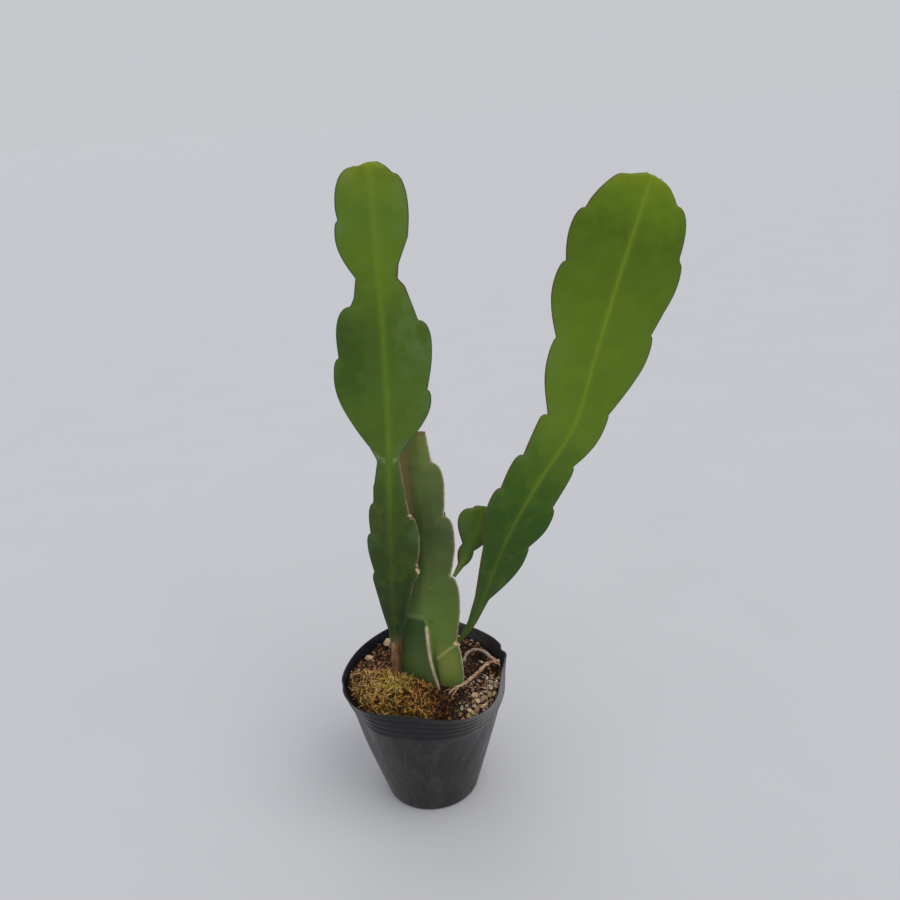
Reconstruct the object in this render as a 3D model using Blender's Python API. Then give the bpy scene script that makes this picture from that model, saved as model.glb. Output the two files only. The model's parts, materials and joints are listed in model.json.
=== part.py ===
"""A young epiphyllum in its soft nursery pot.

An old cutting with three wings stands in a filled pot. Two young flat stems grow from its right
edge, and a tall one in three segments stands beside it on a woody foot. Moss and a few roots lie
on the potting mix.

Lengths are in millimetres up to build_object, which turns them into metres. The origin is the
middle of the pot's flat base, +Z is up, and the plant's broad faces look towards -Y.
"""
import math
import random

import bmesh
import bpy
import numpy as np
from mathutils import Matrix, Vector

MM = 0.001
FULL_TURN = 2 * math.pi
GAP = 0.35                    # clearance between a piece and what it stands or lies in
STEM_GAP = 0.6                # clearance round a stem or root in its hole

# Pot: thin plastic, a ringed band under the rim, a step, then a plain taper
POT_HEIGHT = 76
BAND_BOTTOM = 60.5
TAPER = ((0, 25.4), (BAND_BOTTOM, 43.2), (POT_HEIGHT, 44.9))     # height, radius of the wall
WALL = 0.8
FLOOR = 1.0
FOOT_CHAMFER = 0.8
BAND_STEP = 1.1               # how far the band stands out from the wall
BAND_RINGS = 4
RING_PITCH = 3.2
RING_DEPTH = 0.4
LIP = 1.0                     # plain edge above the last ring
POT_SIDES = 48
POT_LEVELS = (20, 40, 52)     # heights of the plain wall's rings
BAND_LEVELS = (66, 71)        # heights of the rings inside the band
RIM_WAVES = ((0, 1.16, 0), (1, 1.08, -52.2), (2, 2.01, 87.3), (3, 2.43, -41.2), (4, 2.08, 28),
             (5, 1.47, 11.6))  # lobes, swing, azimuth
RIM_BEND = 5.3                # how much the waves gather at the rim
BAND_PINCH = (-147.9, 20.5, 62.9, 18.2, -4.7)     # azimuth, its width, height, its width, push
DRAIN_HOLES = 6
DRAIN_RADIUS = 2.5
DRAIN_CIRCLE = 16
DRAIN_SIDES = 10

# Potting mix
SOIL_LEVEL = 68.3
SOIL_RISE_TO_BACK = 1.8
SOIL_FALL_TO_RIGHT = 0.8
SOIL_RIPPLE = 0.5
SOIL_RINGS = (0.86, 0.68, 0.48, 0.25)
CHIPS = 48
CHIP_SIZE = (1.5, 3.2)
CHIP_ROOM = 1.5               # reach of a chip's furthest corner, as a share of its radius
PEBBLES = ((118, 2.6), (144, 2.4), (66, 1.9), (50, 1.8), (43, 1.6))  # azimuth by the wall, radius

# Moss cushion: reach in each direction from its middle, held off the pot wall
MOSS_MIDDLE = (-14, -17)
MOSS_REACH = ((-221, 32), (-200, 34), (-90, 34), (-45, 34), (-30, 31), (-17, 28), (-5, 23), (8, 19.5),
              (29, 17), (56, 15.5), (92, 15.5), (110, 19), (124, 26), (139, 32), (160, 34), (190, 34))
MOSS_LIFT = 0.8               # clearance under the cushion
MOSS_HEIGHT = 4.2
MOSS_EDGE = 1.2
MOSS_WALL_GAP = 1.6
MOSS_SIDES = 32
MOSS_RINGS_BELOW = (0.3, 0.65, 0.97)
MOSS_RINGS = (0.93, 0.72, 0.45, 0.18)
SPRIGS = 120
SPRIG_LENGTH = (3.0, 4.8)
SPRIG_RADIUS = 0.75
SPRIG_SUNK = 1.1

# Stems: thickness is half the thickness of the blade
SHOULDER = 5.0                # distance from the midrib at which the blade is thin
FLESH = 1.15                  # half thickness there
EDGE = 0.45                   # half thickness at the margin
SHOULDER_CURVE = 2.2          # how square the upper end of a lobe is
STEM_ROUND = 4.0              # a stem narrower than this is round, and flat from
STEM_FLAT = 10.0              # this half width on
CUTTER_REACH = 16             # how far above the mix a stem still cuts its hole

# Roots on the mix: points and radius
LONG_ROOT = ([(10.5, -19, 65.5), (14.2, -16.6, 69.8), (21.6, -13.2, 72), (29, -4.6, 72),
              (36.3, 3, 73), (39.4, 2.6, 74), (41.2, 0, 74), (41.6, -3, 70.5), (40.8, -4.8, 66)], 1.05)
ROOT_LOOP = ([(39.2, 3.2, 73.8), (37, 8.6, 72.8), (34.9, 13.2, 72.4), (32, 17, 72.2),
              (27.6, 18.4, 71.8), (24, 16.4, 70.8), (22.4, 12.6, 69.6), (22.4, 9, 66)], 0.95)
FINE_ROOT = ([(18.6, -14.8, 71.4), (16.5, -18, 71), (14.5, -21.5, 69.8), (13.8, -23.5, 66)], 0.6)
ROOT_SIDES = 8
ROOT_KNOB = (40.8, 1, 74.2, 1.6)


class Wing:
    """One flat wing of a stem: its azimuth low and high (or a table of it), and its outline.

    An outline is a list of steps. (station, half width) is a straight run to that point, and
    (crown station, crown width, notch station, notch width) is a lobe that swells to its crown
    and turns in to a notch. Stations are distances along the stem from the mix or the areole.
    """
    def __init__(self, low, high, outline, turns=None):
        self.low, self.high, self.outline, self.turns = low, high, outline, turns

    def azimuth(self, station, part):
        return level(self.turns, station) if self.turns else self.low + (self.high - self.low) * part


class Stem:
    """A stem: points that its midrib passes through, how much of it is buried, and its wings."""
    def __init__(self, points, buried, core, wings, sway=0.0):
        self.path = Path(points, buried)
        self.core = core      # (station, half thickness of the midrib)
        self.wings = wings
        self.sway = sway      # slow swing of the wings, in degrees


class Path:
    """A smooth curve through a few points, read by the distance along it."""
    def __init__(self, points, buried=0.0, steps=24):
        knots = np.array(points, float)
        spans = np.linalg.norm(np.diff(knots, axis=0), axis=1)
        slopes = np.diff(knots, axis=0) / spans[:, None]
        before, after = spans[:-1, None], spans[1:, None]
        inner = (slopes[:-1] * after + slopes[1:] * before) / (before + after)
        tangents = np.vstack([slopes[0], inner, slopes[-1]])
        dense = []
        for i, span in enumerate(spans):
            for t in np.linspace(0, 1, steps, endpoint=False):
                bend = (t**3 - 2 * t**2 + t) * tangents[i] + (t**3 - t**2) * tangents[i + 1]
                share = 3 * t**2 - 2 * t**3
                dense.append((1 - share) * knots[i] + share * knots[i + 1] + span * bend)
        dense.append(knots[-1])
        self.points = np.array(dense)
        lengths = np.linalg.norm(np.diff(self.points, axis=0), axis=1)
        self.stations = np.concatenate([[0], np.cumsum(lengths)]) - buried
        self.start, self.end = self.stations[0], self.stations[-1]

    def read(self, station):
        return Vector([np.interp(station, self.stations, values) for values in self.points.T])

    def at(self, station):
        """The point at a station. Beyond either end the curve runs straight on."""
        inside = min(max(station, self.start), self.end)
        return self.read(inside) + self.along(inside) * (station - inside)

    def along(self, station):
        """The direction of the curve at a station."""
        low, high = max(station - 1, self.start), min(station + 1, self.end)
        return (self.read(high) - self.read(low)).normalized()


MOTHER_PAD = Stem(
    points=[(5.5, -7.5, 46), (4.5, -5, 66), (3.5, -1.5, 102), (4.5, 2, 134), (4.5, 6, 165), (4, 9.5, 192),
            (3.5, 12, 216)],
    buried=20.2,
    core=[(-20, 2.6), (0, 2.9), (40, 2.6), (150, 2.0)],
    wings=[
        Wing(-20, -20, [(-20, 13), (-2, 17.5), (12, 18.6, 27, 16), (53, 19.5, 66, 14.8),
                        (87, 18.5, 98.5, 13.4), (116, 15, 126.5, 9.4), (150, 6.5)]),
        Wing(143, 145, [(-20, 10), (-3, 19), (3, 22), (10, 22), (24, 19.5), (37, 14), (62, 18.5, 74, 14.5),
                        (94, 16.5, 105, 11.5), (122, 13, 131, 10.5), (150, 10)]),
        Wing(302, 275, [(-20, 6), (0, 6.6), (12, 5.8), (28, 4.9), (38, 3.6), (40.5, 1.4), (150, 1)],
             turns=((0, 302), (3, 300), (8, 292), (12, 284), (18, 275), (24, 271), (40, 269), (150, 275))),
    ],
    sway=1.5)
# The old pad's top was cut off: a point on each cut, and the way out of the stem there
PAD_CUTS = (((8.5, 8.5, 209), (-0.05, 0.12, 1.0)), ((6.5, 9.5, 208.5), (-0.65, 0.48, 0.59)))

LEFT_SHOOT = Stem(
    points=[(-20, 2, 50), (-16, 4, 69.5), (-13, -0.5, 115), (-10.5, -3, 158), (-8, -3.5, 197),
            (-6, -3.5, 233), (-5, -4, 266.5), (-5, -2.5, 304.5), (-4.5, -0.5, 340)],
    buried=19.7,
    core=[(-20, 2.3), (18, 2.5), (60, 2.3), (130, 2.5), (200, 2.1), (221, 2.4), (262, 1.7), (271, 0.9)],
    wings=[
        Wing(-15, 4, [(-20, 2.3), (0, 2.3), (19, 3), (31, 4.5), (62, 11.5), (68, 14, 73, 13.2),
                      (84, 14.9, 100.5, 9.8), (115, 7.3), (132, 5), (140, 10.3),
                      (161, 21.5, 165.5, 19.7), (188, 22.8, 199.5, 17), (216, 12), (219.5, 9),
                      (226, 10), (238, 15.3), (250, 16.4, 266.5, 10.6), (271, 5)]),
        Wing(165, 184, [(-20, 2.3), (0, 2.3), (19, 3), (31, 4), (60, 10.5), (62, 10.8, 66, 9.8),
                        (84, 12.9, 89, 10.9), (98, 11.4, 106.5, 8.9), (111, 8.6, 117, 8), (130, 6),
                        (137, 9.5), (171, 25.9, 182, 22.7), (190, 23, 208, 14.4), (212, 12.3),
                        (221, 10.5), (240, 18, 247, 16), (253, 16.8, 269.5, 6.5), (271, 4)]),
    ],
    sway=2.5)

RIGHT_SHOOT = Stem(
    points=[(20.1, -8.45, 95.4), (27, -10.5, 106.5), (31.5, -11, 117), (48, -10, 156), (66, -9.5, 187),
            (82, -8.5, 211), (93.5, -7, 245), (106, -4, 283), (117, -1.5, 314), (121.5, -0.5, 326)],
    buried=0,
    core=[(0, 1.0), (12, 1.9), (58, 2.3), (200, 2.0), (240, 1.6), (253.5, 0.8)],
    wings=[
        Wing(10, 5, [(0, 1.0), (3, 1.6), (12, 2.2), (30, 4.2), (57, 15.2, 64, 14), (79, 18.5, 90, 15.2),
                     (103, 15.3, 115, 12.6), (134, 16.8, 142, 16), (175, 26, 184, 24), (197, 27),
                     (211, 29.4, 220, 27.3), (223, 26.3, 245, 16), (249.5, 12), (253.5, 3)]),
        Wing(190, 185, [(0, 1.0), (3, 1.6), (12, 2.2), (30, 4), (58, 9.2), (84, 16.8, 89, 14.8),
                        (104, 16.4, 108.5, 13.8), (130, 17.2, 134.5, 14.2), (163, 21.8, 172.5, 20.2),
                        (198, 28.6, 207.5, 25.8), (222, 28.6, 232, 24.6), (240, 21), (247, 15.6),
                        (252, 9.3), (253.5, 3)]),
    ],
    sway=2.5)

SMALL_SHOOT = Stem(
    points=[(19.95, -3.45, 131.6), (26, 1.5, 139.5), (31.5, 4.5, 150), (35.9, 7.4, 162.5), (36.6, 7.9, 165.5)],
    buried=0,
    core=[(0, 0.9), (8, 1.3), (20, 1.6), (39.5, 0.8)],
    wings=[
        Wing(5, 12, [(0, 0.9), (7, 2), (12.5, 3.8, 16, 3), (31, 10.5, 38, 5.5), (39.5, 3)]),
        Wing(185, 192, [(0, 0.9), (7, 1.6), (14.5, 4.8, 17.5, 3.9), (31.5, 10.8, 38.5, 5),
                        (39.5, 3)]),
    ])


def level(table, station):
    """A value read from a short table of (station, value)."""
    stations, values = zip(*table)
    return float(np.interp(station, stations, values))


def smoothstep(value):
    value = min(max(value, 0.0), 1.0)
    return value * value * (3 - 2 * value)


def half_width(outline, station):
    """How far a wing reaches from the midrib at a station."""
    start, width = outline[0]
    for step in outline[1:]:
        end, narrow = step[-2:]
        if station <= end:
            if station <= start:
                return width
            if len(step) == 2:
                return width + (narrow - width) * (station - start) / (end - start)
            crown, full = step[:2]
            if station <= crown:
                rise = (station - start) / (crown - start)
                return width + (full - width) * math.sin(math.pi / 2 * rise)
            fall = (station - crown) / (end - crown)
            return narrow + (full - narrow) * (1 - fall**SHOULDER_CURVE) ** (1 / SHOULDER_CURVE)
        start, width = end, narrow
    return width


def stem_stations(stem, spacing=9.0, nearest=0.9):
    """Where a stem has its rings: every notch, a few on each lobe, and no long stretch without."""
    firm, loose = {stem.path.start, stem.path.end}, set()
    for wing in stem.wings:
        start = wing.outline[0][0]
        for step in wing.outline[1:]:
            end = min(step[-2], stem.path.end)
            if start >= stem.path.end:
                break
            firm.add(end)
            if len(step) == 4:
                crown = step[0]
                loose.update((crown, start + (crown - start) * 0.3, start + (crown - start) * 0.6))
                loose.update((crown + (end - crown) * 0.55, crown + (end - crown) * 0.86))
            start = end
    stations = []
    for station in sorted(firm):
        if not stations or station - stations[-1] >= nearest * 0.4:
            stations.append(station)
    for station in sorted(loose):
        if all(abs(station - other) >= nearest for other in stations):
            stations.append(station)
    stations.sort()
    filled = [stations[0]]
    for station in stations[1:]:
        extra = math.ceil((station - filled[-1]) / spacing)
        filled += list(np.linspace(filled[-1], station, extra + 1)[1:])
    return filled


def stem_ring(stem, station, swell=0.0):
    """The closed outline of a stem at a station: for each wing a shoulder, two edge points and the
    other shoulder, and a point of the midrib between it and the next wing."""
    centre, along = stem.path.at(station), stem.path.along(station)
    core = level(stem.core, station)
    part = smoothstep((station - stem.path.start) / (stem.path.end - stem.path.start))
    swing = stem.sway * math.sin(station / 17)
    outs = []
    for wing in stem.wings:
        azimuth = math.radians(wing.azimuth(station, part) + swing)
        flat = Vector((math.cos(azimuth), math.sin(azimuth), 0))
        outs.append((flat - along * flat.dot(along)).normalized())
    across, beyond = outs[0], along.cross(outs[0])
    later = [math.atan2(out.dot(beyond), out.dot(across)) % FULL_TURN for out in outs[1:]]
    angles = [0.0, *later, FULL_TURN]
    ring = []
    for place, wing in enumerate(stem.wings):
        angle, following = angles[place], angles[place + 1]
        previous = angles[place - 1] if place else angles[-2] - FULL_TURN
        room = min(following - angle, angle - previous)
        width = max(half_width(wing.outline, station), core * 1.02)
        flatness = smoothstep((width - STEM_ROUND) / (STEM_FLAT - STEM_ROUND))
        shoulder = min(SHOULDER, 0.6 * width)
        limit = math.tan(min(room * 0.33, 1.2))
        thick = min(core * 0.78 + (FLESH - core * 0.78) * flatness, shoulder * limit)
        thin = min(core * 0.35 + (EDGE - core * 0.35) * flatness, width * limit * 0.5)
        points = [(shoulder, -thick), (width, -thin), (width, thin), (shoulder, thick)]
        for out, aside in points:
            out += swell if out == width else 0.0
            aside += math.copysign(swell, aside)
            x = out * math.cos(angle) - aside * math.sin(angle)
            y = out * math.sin(angle) + aside * math.cos(angle)
            ring.append(centre + across * x + beyond * y)
        between = (angle + following) / 2
        ring.append(centre + (across * math.cos(between) + beyond * math.sin(between)) * (core + swell))
    return ring


def loft(rings, turned=()):
    """Points and triangles of a closed skin over rings of equal count, with a fan at each end.
    Columns in turned are split along their other diagonal."""
    count = len(rings[0])
    points = [point for ring in rings for point in ring]
    triangles = []
    for row in range(len(rings) - 1):
        for column in range(count):
            a, b = row * count + column, row * count + (column + 1) % count
            d, c = a + count, b + count
            if column in turned:
                triangles += [(a, b, d), (b, c, d)]
            else:
                triangles += [(a, b, c), (a, c, d)]
    for ring, offset, first in ((rings[0], 0, True), (rings[-1], (len(rings) - 1) * count, False)):
        points.append(sum(ring, Vector()) / count)
        for column in range(count):
            a, b = offset + column, offset + (column + 1) % count
            triangles.append((b, a, len(points) - 1) if first else (a, b, len(points) - 1))
    return points, triangles


def material(name, colour, roughness):
    """A plain finish in an sRGB colour given from 0 to 255."""
    made = bpy.data.materials.new(name)
    made.use_nodes = True
    shader = made.node_tree.nodes["Principled BSDF"]
    linear = [((part / 255 + 0.055) / 1.055) ** 2.4 for part in colour]
    shader.inputs["Base Color"].default_value = (*linear, 1)
    shader.inputs["Roughness"].default_value = roughness
    shader.inputs["Metallic"].default_value = 0.0
    return made


def build_object(name, points, faces, origin=(0, 0, 0)):
    """An object from points in millimetres, placed at its origin."""
    base = Vector(origin)
    mesh = bpy.data.meshes.new(name)
    mesh.from_pydata([(Vector(point) - base) * MM for point in points], [], faces)
    made = bpy.data.objects.new(name, mesh)
    made.location = base * MM
    bpy.context.scene.collection.objects.link(made)
    return made


def finish(made, finish_material, angle=40):
    """Gives an object its material and smooth faces with sharp creases."""
    made.data.materials.clear()
    made.data.materials.append(finish_material)
    made.data.shade_smooth()
    made.data.set_sharp_from_angle(angle=math.radians(angle))
    return made


def combine(target, others, operation):
    """Joins the others to the target, or cuts them out of it, in one step, and removes them."""
    group = bpy.data.collections.new("others")
    bpy.context.scene.collection.children.link(group)
    for other in others:
        bpy.context.scene.collection.objects.unlink(other)
        group.objects.link(other)
        other.hide_render = True
        other.display_type = "WIRE"
    modifier = target.modifiers.new("combine", "BOOLEAN")
    modifier.operation = operation
    modifier.operand_type = "COLLECTION"
    modifier.collection = group
    modifier.solver = "EXACT"
    seen = target.evaluated_get(bpy.context.evaluated_depsgraph_get())
    result = bpy.data.meshes.new_from_object(seen)
    target.modifiers.clear()
    target.data = result
    for other in others:
        bpy.data.objects.remove(other)
    bpy.data.collections.remove(group)
    keep_largest(target.data)


def keep_largest(mesh):
    """Drops the loose scraps that a cut may leave."""
    work = bmesh.new()
    work.from_mesh(mesh)
    unseen, pieces = set(work.faces), []
    while unseen:
        front = [unseen.pop()]
        piece = list(front)
        while front:
            beside = {face for edge in front.pop().edges for face in edge.link_faces} & unseen
            unseen -= beside
            piece += beside
            front += beside
        pieces.append(piece)
    pieces.sort(key=len)
    scraps = [face for piece in pieces[:-1] for face in piece]
    bmesh.ops.delete(work, geom=scraps, context="FACES")
    work.to_mesh(mesh)
    work.free()


def cut_end(made, point, outward):
    """Slices off what lies beyond a plane, and closes the cut."""
    work = bmesh.new()
    work.from_mesh(made.data)
    place = (Vector(point) * MM) - made.location
    everything = work.verts[:] + work.edges[:] + work.faces[:]
    cut = bmesh.ops.bisect_plane(work, geom=everything, plane_co=place, clear_outer=True,
                                 plane_no=Vector(outward).normalized(), dist=0.01 * MM)
    edges = [part for part in cut["geom_cut"] if isinstance(part, bmesh.types.BMEdge)]
    bmesh.ops.edgenet_fill(work, edges=edges)
    bmesh.ops.recalc_face_normals(work, faces=work.faces)
    work.to_mesh(made.data)
    work.free()


def stem_object(name, stem, swell=0.0, top=None):
    """The solid of a stem. With a swell and a top it is the cutter of the hole that it stands in."""
    stations = stem_stations(stem)
    if top is not None:
        stations = [stations[0] - swell, *(s for s in stations[1:] if s < top - 1), top]
    rings = [stem_ring(stem, station, swell) for station in stations]
    turned = [place for place in range(len(rings[0])) if place % 5 in (2, 3)]
    points, triangles = loft(rings, turned)
    return build_object(name, points, triangles, stem.path.at(0))


def rim_wave(azimuth):
    """How far the soft rim is pushed out or in at an azimuth."""
    return sum(swing * math.cos(lobes * (azimuth - math.radians(peak)))
               for lobes, swing, peak in RIM_WAVES)


def band_pinch(azimuth, z):
    """How far the soft band is pressed in at one side."""
    middle, width, height, tall, push = BAND_PINCH
    off = (math.degrees(azimuth) - middle + 180) % 360 - 180
    return push * math.exp(-(off / width) ** 2 - ((z - height) / tall) ** 2)


def pot_radius(azimuth, z, outward=0.0):
    """The radius of the tapering wall, which bends with the rim towards its top."""
    lift = max(z / POT_HEIGHT, 0) ** RIM_BEND
    return level(TAPER, z) + outward + rim_wave(azimuth) * lift + band_pinch(azimuth, z)


def turn_point(radius, azimuth, z=0.0):
    return Vector((radius * math.cos(azimuth), radius * math.sin(azimuth), z))


def azimuths(sides):
    return [FULL_TURN * side / sides for side in range(sides)]


def pot_rings(profile):
    """Rings round the pot at (z, outward) steps."""
    return [[turn_point(pot_radius(azimuth, z, outward), azimuth, z) for azimuth in azimuths(POT_SIDES)]
            for z, outward in profile]


def build_pot():
    step_top = BAND_BOTTOM + WALL
    outside = [(0, -FOOT_CHAMFER), (FOOT_CHAMFER, 0), *((z, 0) for z in POT_LEVELS),
               (BAND_BOTTOM - 0.5, 0), (BAND_BOTTOM, BAND_STEP)]
    for ring in range(BAND_RINGS):
        z = BAND_BOTTOM + RING_PITCH * (ring + 0.75)
        outside += [(z - RING_PITCH / 3, BAND_STEP), (z, BAND_STEP - RING_DEPTH)]
    outside += [(POT_HEIGHT - LIP, BAND_STEP), (POT_HEIGHT, BAND_STEP - 0.2)]
    inside = [(POT_HEIGHT, BAND_STEP - WALL), *((z, BAND_STEP - WALL) for z in reversed(BAND_LEVELS)),
              (step_top, BAND_STEP - WALL), (BAND_BOTTOM, -WALL),
              *((z, -WALL) for z in reversed(POT_LEVELS)), (FLOOR, -WALL)]
    pot = build_object("pot", *loft(pot_rings(outside + inside)))
    holes = []
    for azimuth in azimuths(DRAIN_HOLES):
        centre = turn_point(DRAIN_CIRCLE, azimuth)
        rings = [[centre + turn_point(DRAIN_RADIUS, side, z) for side in azimuths(DRAIN_SIDES)]
                 for z in (-1, FLOOR + 1)]
        holes.append(build_object("drain", *loft(rings)))
    combine(pot, holes, "DIFFERENCE")
    return finish(pot, material("black_plastic", (44, 44, 50), 0.42))


def soil_height(x, y):
    """The level of the potting mix."""
    ripple = math.sin(x / 5.3 + 1) * math.cos(y / 6.1) + 0.6 * math.sin((x + y) / 3.7)
    return SOIL_LEVEL + (SOIL_RISE_TO_BACK * y - SOIL_FALL_TO_RIGHT * x) / 45 + SOIL_RIPPLE * ripple


def soil_place(azimuth, inset, part=1.0):
    """A place on the mix in a direction: its edge, held off the pot wall, or a part of the way."""
    reach = pot_radius(azimuth, SOIL_LEVEL)
    for _ in range(4):
        edge = turn_point(reach, azimuth)
        reach = pot_radius(azimuth, soil_height(edge.x, edge.y), BAND_STEP - WALL) - inset
    place = turn_point(reach * part, azimuth)
    return place.x, place.y


def moss_reach(azimuth):
    """How far the moss reaches from its middle in a direction, held off the pot wall."""
    reach = level(MOSS_REACH, (math.degrees(azimuth) + 180) % 360 - 180)
    while reach > 1:
        x, y = moss_place(azimuth, reach)
        if math.hypot(x, y) < math.hypot(*soil_place(math.atan2(y, x), MOSS_WALL_GAP)):
            break
        reach -= 0.25
    return reach


def moss_place(azimuth, distance):
    return MOSS_MIDDLE[0] + distance * math.cos(azimuth), MOSS_MIDDLE[1] + distance * math.sin(azimuth)


def moss_inset(x, y):
    """How far a place lies inside the moss's edge; below 0 outside it."""
    dx, dy = x - MOSS_MIDDLE[0], y - MOSS_MIDDLE[1]
    return moss_reach(math.atan2(dy, dx)) - math.hypot(dx, dy)


def room_at(x, y):
    """The distance from a place on the mix to the nearest stem or root."""
    pad, foot = MOTHER_PAD.path.at(0), LEFT_SHOOT.path.at(0)
    room = math.hypot(x - foot.x, y - foot.y) - 2.5
    for wing in MOTHER_PAD.wings:
        reach = half_width(wing.outline, 0)
        for part in np.linspace(0, 1, 12):
            tip = pad + turn_point(reach * part, math.radians(wing.low))
            room = min(room, math.hypot(x - tip.x, y - tip.y) - 2.2)
    for points, radius in (LONG_ROOT, ROOT_LOOP, FINE_ROOT):
        for px, py, _ in Path(points, steps=3).points:
            room = min(room, math.hypot(x - px, y - py) - radius)
    return room


def build_chip(place, size, rng):
    """A rough crumb of bark or pumice, turned at random."""
    work = bmesh.new()
    bmesh.ops.create_icosphere(work, subdivisions=1, radius=size)
    shape = Matrix.Diagonal((rng.uniform(0.8, 1.3), rng.uniform(0.6, 1.0), rng.uniform(0.45, 0.8), 1))
    lean = Matrix.Rotation(rng.uniform(-0.5, 0.5), 4, "X")
    turn = Matrix.Rotation(rng.uniform(0, FULL_TURN), 4, "Z")
    bmesh.ops.transform(work, matrix=turn @ lean @ shape, verts=work.verts)
    for vert in work.verts:
        vert.co *= rng.uniform(0.85, 1.12)
    points = [vert.co + Vector(place) for vert in work.verts]
    faces = [[vert.index for vert in face.verts] for face in work.faces]
    work.free()
    return build_object("chip", points, faces)


def build_soil(cutters):
    """The filling of the pot, with chips on top and a plain hole for each stem and root."""
    inner = -WALL - GAP
    step_top = BAND_BOTTOM + WALL + GAP
    side = pot_rings([(FLOOR + GAP, inner), *((z, inner) for z in POT_LEVELS),
                      (BAND_BOTTOM + GAP, inner), (step_top, BAND_STEP + inner)])
    top = [[soil_place(azimuth, GAP, part) for azimuth in azimuths(POT_SIDES)]
           for part in (1.0, *SOIL_RINGS)]
    top = [[Vector((x, y, soil_height(x, y))) for x, y in ring] for ring in top]
    soil = build_object("soil", *loft(side + top))
    rng = random.Random(11)
    chips = []
    for degrees, size in PEBBLES:
        x, y = soil_place(math.radians(degrees), size * CHIP_ROOM + GAP)
        chips.append(build_chip((x, y, soil_height(x, y) + size * 0.35), size, rng))
    while len(chips) < CHIPS:
        size = rng.uniform(*CHIP_SIZE)
        room = size * CHIP_ROOM + GAP
        x, y = soil_place(rng.uniform(0, FULL_TURN), room, math.sqrt(rng.random()))
        if room_at(x, y) > size + 0.6 and moss_inset(x, y) < -room:
            chips.append(build_chip((x, y, soil_height(x, y) + size * 0.1), size, rng))
    combine(soil, chips, "UNION")
    combine(soil, cutters, "DIFFERENCE")
    return finish(soil, material("potting_mix", (110, 84, 62), 0.95), 30)


def moss_top(x, y):
    """The height of the moss cushion's top."""
    inset = max(moss_inset(x, y), 0)
    dx, dy = x - MOSS_MIDDLE[0], y - MOSS_MIDDLE[1]
    depth = inset / (inset + math.hypot(dx, dy))
    lump = 0.7 * math.sin(x / 3.1) * math.sin(y / 2.7 + 1)
    dome = (MOSS_HEIGHT + lump) * math.sqrt(1 - (1 - depth) ** 2.5)
    return soil_height(x, y) + MOSS_LIFT + MOSS_EDGE + dome


def build_sprig(place, lean, length):
    """A three-sided pointed sprig, sunk into the cushion."""
    foot, tip = Vector(place), Vector(place) + lean * length
    aside = lean.orthogonal().normalized()
    ring = [foot + Matrix.Rotation(turn, 3, lean) @ aside * SPRIG_RADIUS for turn in azimuths(3)]
    return build_object("sprig", [*ring, tip], [(0, 1, 3), (1, 2, 3), (2, 0, 3), (2, 1, 0)])


def build_moss():
    """A low cushion with short sprigs standing out of it."""
    def ring(part, height):
        places = [moss_place(azimuth, moss_reach(azimuth) * part) for azimuth in azimuths(MOSS_SIDES)]
        return [Vector((x, y, height(x, y))) for x, y in places]

    def under(x, y):
        return soil_height(x, y) + MOSS_LIFT

    def edge(x, y):
        return under(x, y) + MOSS_EDGE * 0.6

    below = [ring(part, under) for part in MOSS_RINGS_BELOW]
    above = [ring(1.0, edge), *(ring(part, moss_top) for part in MOSS_RINGS)]
    moss = build_object("moss", *loft(below + above))
    rng = random.Random(5)
    sprigs = []
    while len(sprigs) < SPRIGS:
        azimuth, part = rng.uniform(0, FULL_TURN), math.sqrt(rng.uniform(0.01, 0.9))
        x, y = moss_place(azimuth, moss_reach(azimuth) * part)
        tilt = Vector((rng.uniform(-0.6, 0.6), rng.uniform(-0.6, 0.6), 1)).normalized()
        length = rng.uniform(*SPRIG_LENGTH)
        tip = Vector((x, y, 0)) + tilt * length
        if min(room_at(x, y), room_at(tip.x, tip.y)) > 1.4 and moss_inset(tip.x, tip.y) > 0:
            sprigs.append(build_sprig((x, y, moss_top(x, y) - SPRIG_SUNK), tilt, length))
    combine(moss, sprigs, "UNION")
    return finish(moss, material("moss", (150, 130, 55), 0.95), 30)


def build_tube(name, points, radius, swell=0.0):
    """A root: a round tube on a smooth path, thinner towards its end."""
    path = Path(points)
    rings = []
    for station in np.linspace(-swell, path.end + swell, max(8, round(path.end / 2.6))):
        along = path.along(station)
        across = Vector((0, 0, 1)).cross(along).normalized()
        beyond = along.cross(across)
        taper = 1 - 0.25 * station / path.end
        size = radius * taper * (1 + 0.1 * math.sin(station * 1.3)) + swell
        rings.append([path.at(station) + (across * math.cos(side) + beyond * math.sin(side)) * size
                      for side in azimuths(ROOT_SIDES)])
    return build_object(name, *loft(rings))


def build_knob(swell=0.0):
    work = bmesh.new()
    bmesh.ops.create_icosphere(work, subdivisions=1, radius=ROOT_KNOB[3] + swell)
    points = [vert.co + Vector(ROOT_KNOB[:3]) for vert in work.verts]
    faces = [[vert.index for vert in face.verts] for face in work.faces]
    work.free()
    return build_object("knob", points, faces)


def root_parts(swell=0.0):
    tubes = [build_tube("root", *root, swell) for root in (LONG_ROOT, ROOT_LOOP, FINE_ROOT)]
    return [*tubes, build_knob(swell)]


def build_roots():
    long_root, *others = root_parts()
    combine(long_root, others, "UNION")
    long_root.name = long_root.data.name = "surface_roots"
    return finish(long_root, material("root_bark", (178, 142, 112), 0.85), 50)


def build_mother_pad():
    pad = stem_object("mother_pad", MOTHER_PAD)
    for point, outward in PAD_CUTS:
        cut_end(pad, point, outward)
    return finish(pad, material("old_green_skin", (88, 108, 56), 0.5))


def build_shoots():
    green = material("green_skin", (74, 100, 36), 0.42)
    named = (("left_shoot", LEFT_SHOOT), ("right_shoot", RIGHT_SHOOT), ("small_shoot", SMALL_SHOOT))
    return [finish(stem_object(name, stem), green) for name, stem in named]


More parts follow.
